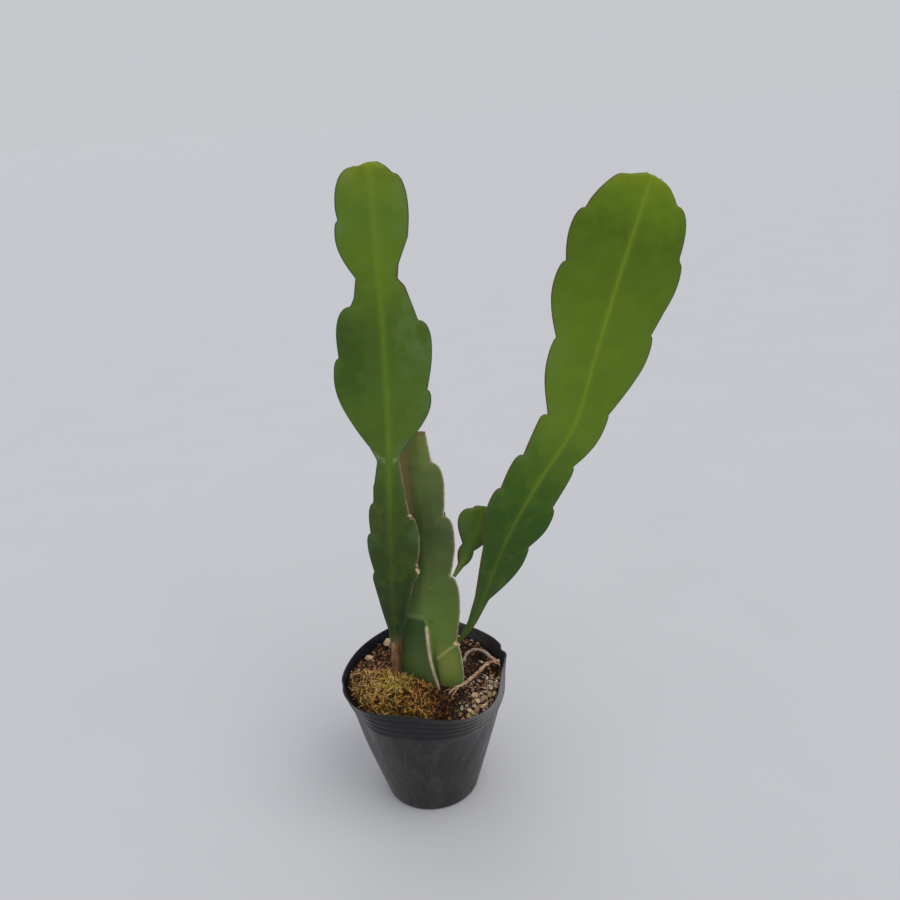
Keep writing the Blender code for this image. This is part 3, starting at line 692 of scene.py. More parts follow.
def stem_skin(name, stem, spacing=1.1):
    """The fine skin of a stem with the attributes that its finish reads."""
    stations = fine_stations(stem, spacing)
    rings = [skin_ring(stem, station) for station in stations]
    points, faces = loft([[entry[0] for entry in ring] for ring in rings])
    values = {"station": [], "out": [], "inset": [], "vein": [], "wing": [], "face": []}
    for station, ring in zip(stations, rings):
        for entry in ring:
            for label, value in zip(values, (station, *entry[1:])):
                values[label].append(value)
    for station in (stations[0], stations[-1]):
        for label, value in zip(values, (station, 0.0, 1.0, 0.0, 0.0, 0.0)):
            values[label].append(value)
    return place_mesh(name, points, faces, values)


def slice_end(made, point, outward, cut_material):
    """Slices off what lies beyond a plane and closes the cut with another finish."""
    work = bmesh.new()
    work.from_mesh(made.data)
    everything = work.verts[:] + work.edges[:] + work.faces[:]
    cut = bmesh.ops.bisect_plane(work, geom=everything, plane_co=Vector(point) * MM, clear_outer=True,
                                 plane_no=Vector(outward).normalized(), dist=0.002 * MM)
    edges = [part for part in cut["geom_cut"] if isinstance(part, bmesh.types.BMEdge)]
    filled = bmesh.ops.edgenet_fill(work, edges=edges)["faces"]
    for face in filled:
        face.material_index = cut_material
        face.smooth = False
    bmesh.ops.recalc_face_normals(work, faces=filled)
    for face in filled:
        if face.normal.dot(Vector(outward)) < 0:
            face.normal_flip()
    bmesh.ops.triangulate(work, faces=filled)
    work.to_mesh(made.data)
    work.free()


# Growing medium and moss: the same levels as the solids

def rim_wave(azimuth):
    """How far the rim is bent out in a direction."""
    return sum(swing * math.cos(lobes * (azimuth - math.radians(peak)))
               for lobes, swing, peak in RIM_WAVES)


def band_pinch(azimuth, z):
    """How far the soft band is pressed in at one side."""
    middle, width, height, tall, push = BAND_PINCH
    off = (math.degrees(azimuth) - middle + 180) % 360 - 180
    return push * math.exp(-(off / width) ** 2 - ((z - height) / tall) ** 2)


def pot_radius(azimuth, z, outward=0.0):
    """The pot's wall in a direction and at a height, and a distance outwards from it."""
    lift = max(z / POT_HEIGHT, 0) ** RIM_BEND
    return level(TAPER, z) + outward + rim_wave(azimuth) * lift + band_pinch(azimuth, z)


def soil_height(x, y):
    """The height of the mix: higher at the back, lower on the right, with slow ripples."""
    ripple = math.sin(x / 5.3 + 1) * math.cos(y / 6.1) + 0.6 * math.sin((x + y) / 3.7)
    return SOIL_LEVEL + (SOIL_RISE_TO_BACK * y - SOIL_FALL_TO_RIGHT * x) / 45 + SOIL_RIPPLE * ripple


def soil_place(azimuth, inset, part=1.0):
    """A place on the mix in a direction: its edge, held off the pot wall, or a part of the way."""
    reach = pot_radius(azimuth, SOIL_LEVEL)
    for _ in range(4):
        edge = turn_point(reach, azimuth)
        reach = pot_radius(azimuth, soil_height(edge.x, edge.y), BAND_STEP - WALL) - inset
    place = turn_point(reach * part, azimuth)
    return place.x, place.y


def moss_place(azimuth, distance):
    """A place on the moss, by direction and distance from its middle."""
    return MOSS_MIDDLE[0] + distance * math.cos(azimuth), MOSS_MIDDLE[1] + distance * math.sin(azimuth)


def moss_reach(azimuth):
    """How far the moss reaches from its middle in a direction, held off the pot wall."""
    reach = level(MOSS_REACH, (math.degrees(azimuth) + 180) % 360 - 180)
    while reach > 1:
        x, y = moss_place(azimuth, reach)
        if math.hypot(x, y) < math.hypot(*soil_place(math.atan2(y, x), MOSS_WALL_GAP)):
            break
        reach -= 0.25
    return reach


def moss_inset(x, y):
    """How far inside the moss's edge a place is."""
    dx, dy = x - MOSS_MIDDLE[0], y - MOSS_MIDDLE[1]
    return moss_reach(math.atan2(dy, dx)) - math.hypot(dx, dy)


def moss_top(x, y):
    """The height of the moss cushion's top."""
    inset = max(moss_inset(x, y), 0)
    dx, dy = x - MOSS_MIDDLE[0], y - MOSS_MIDDLE[1]
    depth = inset / (inset + math.hypot(dx, dy))
    lump = 0.7 * math.sin(x / 3.1) * math.sin(y / 2.7 + 1)
    dome = (MOSS_HEIGHT + lump) * math.sqrt(1 - (1 - depth) ** 2.5)
    return soil_height(x, y) + MOSS_LIFT + MOSS_EDGE + dome


def stem_room(x, y):
    """The distance from a place on the mix to the nearest stem."""
    pad, foot = MOTHER_PAD.path.at(0), LEFT_SHOOT.path.at(0)
    room = math.hypot(x - foot.x, y - foot.y) - FOOT_ROOM
    for wing in MOTHER_PAD.wings:
        reach = half_width(wing.outline, 0)
        for part in np.linspace(0, 1, 12):
            tip = pad + turn_point(reach * part, math.radians(wing.low))
            room = min(room, math.hypot(x - tip.x, y - tip.y) - WING_ROOM)
    return room


# Geometry Nodes trees

LAST_PICK = 99                # picks run on past the count of shapes, and start over


def new_tree(name, *sockets):
    """An empty tree with named inputs of (name, kind), and one geometry output."""
    tree = bpy.data.node_groups.new(name, "GeometryNodeTree")
    for label, kind in sockets:
        tree.interface.new_socket(label, in_out="INPUT", socket_type="NodeSocket" + kind)
    tree.interface.new_socket("Geometry", in_out="OUTPUT", socket_type="NodeSocketGeometry")
    board = Board(tree)
    source = tree.nodes.new("NodeGroupInput")
    given = {label: Wire(board, source.outputs[label]) for label, _ in sockets}
    return board, given


def close_tree(board, geometry, material):
    """Every tree ends in Realize Instances and Set Material."""
    solid = board.node("GeometryNodeRealizeInstances", sockets={"Geometry": geometry})
    dressed = board.node("GeometryNodeSetMaterial", sockets={"Geometry": solid, "Material": material})
    end = board.tree.nodes.new("NodeGroupOutput")
    board.tree.links.new(dressed.socket, end.inputs["Geometry"])
    return board.tree


def grow(name, base, tree, **values):
    """Runs a tree on an object and keeps the result as a plain mesh of that name."""
    modifier = base.modifiers.new("grow", "NODES")
    modifier.node_group = tree
    for item in tree.interface.items_tree:
        if item.in_out == "INPUT" and item.name in values:
            modifier[item.identifier] = values[item.name]
    graph = bpy.context.evaluated_depsgraph_get()
    mesh = bpy.data.meshes.new_from_object(base.evaluated_get(graph), preserve_all_data_layers=True,
                                           depsgraph=graph)
    mesh.name = name
    base.modifiers.clear()
    made = bpy.data.objects.new(name, mesh)
    bpy.context.scene.collection.objects.link(made)
    return made


def random_turn(board, seed, lean):
    """A turn for each point: leant at random, and spun any way round."""
    euler = board.node("ShaderNodeCombineXYZ", sockets={0: board.chance(seed + 1, -1.0, 1.0) * lean,
                                                        1: board.chance(seed + 2, -1.0, 1.0) * lean,
                                                        2: board.chance(seed + 3, 0.0, FULL_TURN)})
    return board.node("FunctionNodeEulerToRotation", sockets={0: euler})


def set_shapes(board, points, shapes, seed, rotation, size):
    """One shape of a collection, picked at random, on each point."""
    apart = board.node("GeometryNodeCollectionInfo",
                       sockets={"Collection": shapes, "Separate Children": True, "Reset Children": True})
    return board.node("GeometryNodeInstanceOnPoints",
                      sockets={"Points": points, "Instance": apart, "Pick Instance": True,
                               "Instance Index": board.chance(seed, 0, LAST_PICK, "INT"),
                               "Rotation": rotation, "Scale": size})


def strew_tree():
    """Strews the shapes of a collection over a surface, turned and sized at random."""
    board, given = new_tree("strew", ("Surface", "Geometry"), ("Shapes", "Collection"),
                            ("Per_area", "Float"), ("Where", "String"), ("Small", "Float"),
                            ("Large", "Float"), ("Lean", "Float"), ("Sink", "Float"), ("Seed", "Int"),
                            ("Finish", "Material"))
    seed = given["Seed"]
    share = board.node("GeometryNodeInputNamedAttribute", {"data_type": "FLOAT"},
                       {"Name": given["Where"]})
    spots = board.node("GeometryNodeDistributePointsOnFaces", {"distribute_method": "RANDOM"},
                       {"Mesh": given["Surface"], "Density": share * given["Per_area"], "Seed": seed})
    facing = Wire(board, spots.socket.node.outputs["Rotation"])
    normal = Wire(board, spots.socket.node.outputs["Normal"])
    rotation = board.node("FunctionNodeRotateRotation", {"rotation_space": "LOCAL"},
                          {"Rotation": facing, "Rotate By": random_turn(board, seed + 10, given["Lean"])})
    size = board.chance(seed + 14, given["Small"], given["Large"])
    down = board.node("ShaderNodeVectorMath", {"operation": "SCALE"},
                      {0: normal, "Scale": 0 - size * given["Sink"]})
    sunk = board.node("GeometryNodeSetPosition", sockets={"Geometry": spots, "Offset": down})
    placed = set_shapes(board, sunk, given["Shapes"], seed + 15, rotation, size)
    tinted = board.node("GeometryNodeStoreNamedAttribute", {"data_type": "FLOAT", "domain": "INSTANCE"},
                        {"Geometry": placed, "Name": "tint", "Value": board.chance(seed + 16, 0.0, 1.0)})
    return close_tree(board, tinted, given["Finish"])


def lay_tree():
    """Lays the shapes of a collection on given points, each at its own size."""
    board, given = new_tree("lay", ("Spots", "Geometry"), ("Shapes", "Collection"), ("Lean", "Float"),
                            ("Seed", "Int"), ("Finish", "Material"))
    turned = random_turn(board, given["Seed"], given["Lean"])
    size = board.node("GeometryNodeInputNamedAttribute", {"data_type": "FLOAT"}, {"Name": "size"})
    placed = set_shapes(board, given["Spots"], given["Shapes"], given["Seed"] + 4, turned, size)
    return close_tree(board, placed, given["Finish"])


def pot_tree():
    """Turns a profile round the axis and bends the soft wall in and out towards the rim."""
    swings = [(f"Swing {lobes}", "Float") for lobes, _, _ in RIM_WAVES]
    board, given = new_tree("turn_pot", ("Profile", "Geometry"), ("Rows", "Int"), ("Sides", "Int"),
                            ("Height", "Float"), *swings, ("Finish", "Material"))
    grid = board.node("GeometryNodeMeshGrid", sockets={"Size X": 1.0, "Size Y": 1.0,
                                                       "Vertices X": given["Sides"] + 1,
                                                       "Vertices Y": given["Rows"]})
    here = board.node("GeometryNodeInputPosition")
    azimuth = (here.part(0) + 0.5) * FULL_TURN
    row = ((here.part(1) + 0.5) * (given["Rows"] - 1)).whole()
    spot = board.node("GeometryNodeSampleIndex", {"data_type": "FLOAT_VECTOR", "domain": "POINT"},
                      {"Geometry": given["Profile"], "Value": here, "Index": row})
    radius, z = spot.part(0), spot.part(2)
    lift = (z / given["Height"]).larger(0.0) ** RIM_BEND
    wave = 0.0
    for lobes, _, peak in RIM_WAVES:
        wave = given[f"Swing {lobes}"] * (lobes * azimuth - lobes * math.radians(peak)).cos() + wave
    radius = radius + wave * lift
    middle, width, height, tall, push = BAND_PINCH
    off = (azimuth * (180 / math.pi) - middle % 360) / width
    high = (z - height * MM) / (tall * MM)
    radius = radius + radius.maths("EXPONENT", (off * off + high * high) * -1.0) * (push * MM)
    for degrees, width, push in RIM_FOLDS:
        off = radius.maths("WRAP", azimuth * (180 / math.pi) - degrees, 180.0, -180.0)
        radius = radius + off.bell(width) * lift * (push * MM)
    moved = board.node("ShaderNodeCombineXYZ",
                       sockets={0: radius * azimuth.cos(), 1: radius * azimuth.sin(), 2: z})
    bent = board.node("GeometryNodeSetPosition", sockets={"Geometry": grid, "Position": moved})
    closed = board.node("GeometryNodeMergeByDistance", sockets={"Geometry": bent, "Distance": 0.01 * MM})
    return close_tree(board, closed, given["Finish"])


def sweep_tree():
    """A root: a knobbly tube on a curve, with its own thickness at each point."""
    board, given = new_tree("sweep_root", ("Curve", "Geometry"), ("Sides", "Int"), ("Knobs", "Float"),
                            ("Finish", "Material"))
    ring = board.node("GeometryNodeCurvePrimitiveCircle", {"mode": "RADIUS"},
                      {"Resolution": given["Sides"], "Radius": 1.0})
    thick = board.node("GeometryNodeInputRadius")
    tube = board.node("GeometryNodeCurveToMesh",
                      sockets={"Curve": given["Curve"], "Profile Curve": ring, "Scale": thick,
                               "Fill Caps": True})
    grain = board.node("ShaderNodeTexNoise", sockets={"Scale": 0.9 / MM, "Detail": 2.0})
    normal = board.node("GeometryNodeInputNormal")
    push = board.node("ShaderNodeVectorMath", {"operation": "SCALE"},
                      {0: normal, "Scale": (grain - 0.5) * given["Knobs"]})
    rough = board.node("GeometryNodeSetPosition", sockets={"Geometry": tube, "Offset": push})
    smooth = board.node("GeometryNodeSetShadeSmooth", sockets={"Geometry": rough})
    return close_tree(board, smooth, given["Finish"])


# Small shapes that are strewn

SPIRAL_TURN = 2.4             # radians from one corner or leaflet to the next
LEAFLET_WIDTH = 0.15          # half the width of a leaflet
LEAFLET_FOLD = 0.12           # how far its sides fold down


def shape_set(name, shapes):
    """A collection of small shapes, kept out of the scene."""
    group = bpy.data.collections.new(name)
    for shape in shapes:
        bpy.context.scene.collection.objects.unlink(shape)
        group.objects.link(shape)
    return group


def drop_set(group):
    """Removes a collection of small shapes once they are strewn."""
    for shape in list(group.objects):
        bpy.data.objects.remove(shape)
    bpy.data.collections.remove(group)


def chip(name, rng, corners, flat, rough):
    """An angular grain about 1 mm in radius: the hull of a few points."""
    stretch = Vector((rng.uniform(0.85, 1.2), rng.uniform(0.65, 0.95), flat * rng.uniform(0.8, 1.1)))
    work = bmesh.new()
    for corner in range(corners):
        height = 1 - (2 * corner + 1) / corners
        turn = corner * SPIRAL_TURN + rng.uniform(-0.3, 0.3)
        ring = math.sqrt(1 - height * height)
        size = rng.uniform(1 - rough, 1)
        place = Vector((ring * math.cos(turn), ring * math.sin(turn), height)) * size
        work.verts.new(Vector(a * b for a, b in zip(place, stretch)))
    bmesh.ops.convex_hull(work, input=work.verts)
    bmesh.ops.delete(work, geom=[vert for vert in work.verts if not vert.link_faces], context="VERTS")
    bmesh.ops.recalc_face_normals(work, faces=work.faces)
    work.verts.index_update()
    points = [vert.co.copy() for vert in work.verts]
    faces = [[vert.index for vert in face.verts] for face in work.faces]
    work.free()
    return place_mesh(name, points, faces, smooth=False)


def thread(name, spine, radius, sides=3, steps=5, leaves=0, rng=None):
    """A thin closed stalk along a curve, with pointed leaflets on it where they are asked for.
    Its height attribute runs from 0 at the foot to 1 at the tip."""
    points, heights = [], []
    for step in range(steps):
        share = step / steps
        ahead = (spine(share + 0.02) - spine(share)).normalized()
        aside = ahead.orthogonal().normalized()
        other = ahead.cross(aside)
        for turn in azimuths(sides):
            points.append(spine(share) + (aside * math.cos(turn) + other * math.sin(turn)) * radius(share))
            heights.append(share)
    points.append(spine(1.0))
    heights.append(1.0)
    faces = bands(steps, sides)
    last = (steps - 1) * sides
    for side in range(sides):
        faces.append((last + side, last + (side + 1) % sides, len(points) - 1))
    faces.append(tuple(reversed(range(sides))))
    for leaf in range(leaves):
        share = 0.2 + 0.75 * leaf / leaves
        turn = leaf * SPIRAL_TURN + rng.uniform(-0.5, 0.5)
        foot, aim = spine(share), turn_point(1, turn, 0.5 + share).normalized()
        aside = aim.cross(Vector((0, 0, 1))).normalized() * LEAFLET_WIDTH
        reach = rng.uniform(0.8, 1.2) * (1.15 - 0.5 * share)
        droop = aim.cross(aside).normalized() * LEAFLET_FOLD
        middle = foot + aim * reach * 0.4
        start = len(points)
        points += [foot, middle - aside - droop, middle + aside - droop, foot + aim * reach]
        heights += [share, min(share + 0.1, 1), min(share + 0.1, 1), min(share + 0.3, 1)]
        foot_at, left, right, tip = range(start, start + 4)
        faces += [(foot_at, tip, left), (foot_at, right, tip), (foot_at, left, right), (left, tip, right)]
    made = place_mesh(name, points, faces, {"height": heights}, smooth=False)
    face_out(made)
    return made


def moss_strand(name, rng, length, bow, leaves):
    """A moss strand that rises and bows over."""
    length *= rng.uniform(0.8, 1.2)
    aside = turn_point(bow * rng.uniform(0.6, 1.3), rng.uniform(0, FULL_TURN))

    def spine(share):
        return Vector((0, 0, length * (share - 0.42 * share * share))) + aside * (length * share * share)

    return thread(name, spine, lambda share: 0.2 * (1 - 0.55 * share), steps=5, leaves=leaves, rng=rng)


def peat_thread(name, rng):
    """A dead fibre that lies on the mix."""
    length, swing = rng.uniform(2.5, 4.0), rng.uniform(0.2, 0.7)

    def spine(share):
        return Vector(((share - 0.5) * length, math.sin(share * 4) * swing, 0.2 + 0.4 * share * share))

    return thread(name, spine, lambda share: 0.13 * (1 - 0.5 * share))


def wool_hair(name, rng):
    """One hair of the wool on an areole."""
    length, bow = rng.uniform(0.6, 1.0), rng.uniform(0.1, 0.45)

    def spine(share):
        return Vector((bow * share * share * length, 0, share * length))

    return thread(name, spine, lambda share: 0.075 * (1 - 0.5 * share), steps=2)


def tip_tooth(name, rng):
    """A small tooth on the growing tip of a stem."""
    bow = rng.uniform(-0.2, 0.2)

    def spine(share):
        return Vector((bow * share, 0, share - 0.4))

    return thread(name, spine, lambda share: 0.42 * (1 - 0.75 * share), sides=6, steps=3)


def pad_spine(name, rng):
    """A short old spine."""
    bow = rng.uniform(0.1, 0.4)

    def spine(share):
        return Vector((bow * share, 0, 1.2 * share - 0.2))

    return thread(name, spine, lambda share: 0.2 * (1 - 0.8 * share), sides=5, steps=3)


def areole_knob(name, rng):
    """A woolly little knob at an areole."""
    return chip(name, rng, 18, 0.9, 0.35)


# Pieces

def make_pot(finish):
    """The pot: its profile up the outside and down the inside, turned, bent and drilled."""
    profile = [(0, 0), (12, 0), (24, 0), (25.1, 0.25), (25.6, 0.9)]
    for z in np.linspace(3, BAND_BOTTOM - 1.2, 18):
        profile.append((level(TAPER, z), z))
    low = level(TAPER, BAND_BOTTOM)
    profile += [(low - 0.1, BAND_BOTTOM - 0.5), (low + 0.15, BAND_BOTTOM - 0.25),
                (low + BAND_STEP - 0.35, BAND_BOTTOM - 0.15), (low + BAND_STEP, BAND_BOTTOM + 0.25)]
    for z in np.arange(BAND_BOTTOM + 0.6, POT_HEIGHT - 0.7, PROFILE_STEP):
        ring = (z - BAND_BOTTOM) / RING_PITCH - 0.75
        groove = max(math.cos(FULL_TURN * ring), 0) ** 3 if -0.3 < ring < BAND_RINGS - 0.7 else 0
        profile.append((level(TAPER, z) + BAND_STEP - RING_DEPTH * groove, z))
    top = level(TAPER, POT_HEIGHT) + BAND_STEP
    profile += [(top, POT_HEIGHT - 0.55), (top - 0.12, POT_HEIGHT - 0.15), (top - 0.4, POT_HEIGHT),
                (top - 0.68, POT_HEIGHT - 0.15), (top - WALL, POT_HEIGHT - 0.55)]
    for z in np.linspace(POT_HEIGHT - 2, BAND_BOTTOM + WALL, 12):
        profile.append((level(TAPER, z) + BAND_STEP - WALL, z))
    for z in np.linspace(BAND_BOTTOM, 2.2, 14):
        profile.append((level(TAPER, z) - WALL, z))
    profile += [(25.2 - WALL, 1.4), (23.6, FLOOR), (12, FLOOR), (0, FLOOR)]
    line = place_mesh("pot_profile", [(r, 0, z) for r, z in profile], [])
    swings = {f"Swing {lobes}": swing * MM for lobes, swing, _ in RIM_WAVES}
    pot = grow("nursery_pot", line, pot_tree(), Rows=len(profile), Sides=POT_SIDES,
               Height=POT_HEIGHT * MM, Finish=finish, **swings)
    bpy.data.objects.remove(line)
    face_out(pot)
    drills = []
    for azimuth in azimuths(DRAIN_HOLES):
        rings = [[turn_point(DRAIN_CIRCLE, azimuth) + turn_point(DRAIN_RADIUS, side + DRILL_TURN, z)
                  for side in azimuths(DRILL_SIDES)] for z in (-1, FLOOR + 1)]
        drills.append(place_mesh("drill", *loft(rings)))
    carve(pot, drills)
    pot.data.shade_smooth()
    pot.data.set_sharp_from_angle(angle=math.radians(50))
    return pot


def carve(target, cutters):
    """Cuts holes with one Boolean and applies it."""
    group = bpy.data.collections.new("cutters")
    bpy.context.scene.collection.children.link(group)
    for cutter in cutters:
        bpy.context.scene.collection.objects.unlink(cutter)
        group.objects.link(cutter)
    modifier = target.modifiers.new("carve", "BOOLEAN")
    modifier.operation = "DIFFERENCE"
    modifier.operand_type = "COLLECTION"
    modifier.collection = group
    graph = bpy.context.evaluated_depsgraph_get()
    cut = bpy.data.meshes.new_from_object(target.evaluated_get(graph))
    target.modifiers.clear()
    target.data = cut
    for cutter in cutters:
        bpy.data.objects.remove(cutter)
    bpy.data.collections.remove(group)


def face_out(made):
    """Turns all faces of a closed mesh outwards."""
    work = bmesh.new()
    work.from_mesh(made.data)
    bmesh.ops.recalc_face_normals(work, faces=work.faces)
    work.to_mesh(made.data)
    work.free()


def lump(x, y):
    """Small lumps of the mix's top."""
    coarse = noise.noise(Vector((x / 3.4, y / 3.4, 3)))
    fine = noise.noise(Vector((x / 1.2, y / 1.2, 9)))
    return 1.0 * coarse + 0.35 * fine - 0.3


def make_mix(finish):
    """The body of the potting mix, with a lumpy top."""
    inner = -WALL - SOIL_GAP
    around = azimuths(MIX_SIDES)
    rings = [[turn_point(pot_radius(azimuth, z, outward), azimuth, z) for azimuth in around]
             for z, outward in ((FLOOR + SOIL_GAP, inner), *((z, inner) for z in MIX_LEVELS),
                                (BAND_BOTTOM + SOIL_GAP, inner),
                                (BAND_BOTTOM + WALL + SOIL_GAP, BAND_STEP + inner))]
    for part in (1.0, 0.985, 0.96, *np.linspace(0.93, 0.03, 34)):
        places = [soil_place(azimuth, SOIL_GAP, part) for azimuth in around]
        rings.append([Vector((x, y, soil_height(x, y) + lump(x, y))) for x, y in places])
    made = place_mesh("potting_mix", *loft(rings))
    made.data.materials.append(finish)
    return made


def in_spots(x, y, spots):
    """How far a place lies inside any of a few round spots of (x, y, reach, strength)."""
    return max(smoothstep(1 - math.hypot(x - east, y - back) / reach) * strength
               for east, back, reach, strength in spots)


def mix_top():
    """The open top of the mix that grains are strewn over, with the share of each kind at each place."""
    rings, sides = 44, 110
    points = []
    kinds = {kind: [] for kind in ("crumbs", "grit", "clods", "specks", "threads")}
    for ring in range(rings):
        for azimuth in azimuths(sides):
            x, y = soil_place(azimuth, 1.3, 1 - ring / rings)
            points.append((x, y, soil_height(x, y) + lump(x, y)))
            open_ground = smoothstep((min(stem_room(x, y), 0.5 - moss_inset(x, y)) + 0.4) / 1.0)
            front = rise(x, 15, 23) * rise(y, 6, -4)
            hollow = in_spots(x, y, MIX_HOLLOWS)
            peat = rise(x, -6, -14) * rise(y, 30, 20)
            back = rise(y, 16, 28) * rise(x, -12, -2)
            kinds["crumbs"].append(open_ground)
            kinds["specks"].append(open_ground * (0.1 + 0.9 * front))
            open_ground *= ring > 0     # large grains keep off the wall
            chips = 0.03 + front + 0.1 * back + 0.02 * peat
            kinds["grit"].append(open_ground * chips * (1 - 0.8 * hollow))
            kinds["clods"].append(open_ground * (0.25 + peat + 0.3 * back) * (1 - 0.6 * hollow))
            kinds["threads"].append(open_ground * (0.2 + 0.8 * peat) * (ring > 1))
    return place_mesh("mix_top", points, bands(rings, sides), kinds)


STREWN = (    # kind, per square metre, smallest, largest, lean, how deep each sits
    ("crumbs", 6.0e5, 0.3, 1.0, 1.2, 0.2),
    ("clods", 4.6e5, 0.9, 2.4, 1.0, 0.3),
    ("grit", 2.9e5, 0.6, 2.1, 0.8, 0.15),
    ("specks", 0.9e5, 0.2, 0.45, 1.2, -0.6),
    ("threads", 4.0e5, 0.6, 1.3, 0.5, 0.0),
)

STONE_LIFT = 0.45             # how high a stone's middle stands over the mix, as a share of its radius
STONES = (    # x, y, radius, tint of the stones that stand out
    (-31.4, 19.6, 3.6, 0.34), (-29.6, 17.4, 2.3, 0.2), (-37.2, 10.0, 1.3, 0.95), (-30.6, 13.7, 0.9, 0.78),
    (-24, 36.4, 3.5, 0.38), (-20.6, 38.0, 2.7, 0.36), (-26.5, 32, 1.6, 0.15), (-25.0, 27, 1.5, 0.1),
    (21.0, 39.5, 2.1, 0.4), (28.7, 33.5, 1.9, 0.82), (31.8, 29.5, 1.6, 0.8),
    (32.1, 10.8, 1.2, 1.0), (30.9, 12.2, 0.8, 0.97), (29.5, -5.7, 1.4, 0.85), (26.4, -18.4, 2.6, 0.4),
    (33.3, -14.8, 2.5, 0.72), (31.5, -20.5, 2.5, 0.5), (28.0, -24.0, 2.1, 0.36), (22.0, -26.0, 1.8, 0.9),
    (19.2, -28.6, 1.6, 0.88), (23.4, -29.9, 2.0, 0.34), (26.6, -28.0, 1.6, 0.4), (24.8, -31.8, 1.4, 0.3),
    (29.4, -27.0, 1.7, 0.72), (37.0, -2.0, 1.7, 0.72), (40.0, -5.1, 1.7, 0.44), (38.2, -10.2, 1.8, 0.76),
    (35.7, -12.4, 1.2, 0.98), (37.2, -15.2, 1.6, 0.5), (41.2, -0.6, 1.5, 0.6), (31.6, -9.8, 1.5, 0.12),
    (12.5, -31.0, 1.4, 0.2), (16.2, -29.8, 1.5, 0.12), (30.2, -22.8, 2.6, 0.66), (34.6, -18.6, 2.3, 0.5),
    (27.0, -31.0, 2.2, 0.56), (31.4, -27.4, 2.4, 0.36), (35.0, -23.0, 2.2, 0.6), (38.4, -17.6, 2.0, 0.4),
    (22.6, -34.0, 1.9, 0.52), (18.4, -32.6, 1.8, 0.2), (39.6, -12.6, 1.9, 0.76), (36.0, -8.2, 1.7, 0.9),
    (34.0, -5.0, 1.2, 0.97), (25.6, -13.8, 1.6, 0.6), (20.8, -23.4, 1.5, 0.55), (33.0, -2.0, 1.1, 0.9),
    (39.2, -7.4, 1.4, 0.98), (36.8, -5.4, 1.2, 0.8), (41.0, -9.6, 1.3, 0.74), (35.2, -10.4, 1.0, 0.97),
)


def beside_wall(x, y, radius):
    """A stone's place, moved in where it would reach the pot's wall."""
    room = math.hypot(*soil_place(math.atan2(y, x), radius * 1.3 + 0.2))
    share = min(1, room / math.hypot(x, y))
    return x * share, y * share


def make_grains(strew, lay, finishes):
    """Crumbs, clods, grit, specks and threads on top of the mix, and the stones that stand out."""
    rng = random.Random(21)
    ground = mix_top()
    sets = {
        "crumbs": shape_set("crumbs", [chip(f"crumb_{i}", rng, 11, 0.75, 0.5) for i in range(6)]),
        "clods": shape_set("clods", [chip(f"clod_{i}", rng, 16, 0.7, 0.5) for i in range(6)]),
        "grit": shape_set("grit", [chip(f"grit_{i}", rng, 9, 0.5, 0.45) for i in range(8)]),
        "specks": shape_set("specks", [chip(f"speck_{i}", rng, 9, 0.8, 0.3) for i in range(4)]),
        "threads": shape_set("threads", [peat_thread(f"thread_{i}", rng) for i in range(5)]),
    }
    made = []
    for place, (kind, per_area, small, large, lean, sink) in enumerate(STREWN):
        made.append(grow(f"mix_{kind}", ground, strew, Shapes=sets[kind], Per_area=per_area, Where=kind,
                         Small=small, Large=large, Lean=lean, Sink=sink * MM, Seed=31 + place,
                         Finish=finishes[kind]))
        drop_set(sets[kind])
    bpy.data.objects.remove(ground)
    places = [beside_wall(x, y, radius) for x, y, radius, _ in STONES]
    _, _, radii, tints = zip(*STONES)
    spots = place_mesh("stone_spots", [(x, y, soil_height(x, y) + lump(x, y) + STONE_LIFT * radius)
                                       for (x, y), radius in zip(places, radii)], [],
                       {"size": radii, "tint": tints})
    stones = shape_set("stones", [chip(f"stone_{i}", rng, 12, 0.62, 0.36) for i in range(7)])
    made.append(grow("mix_stones", spots, lay, Shapes=stones, Lean=0.5, Seed=5, Finish=finishes["grit"]))
    drop_set(stones)
    bpy.data.objects.remove(spots)
    return made


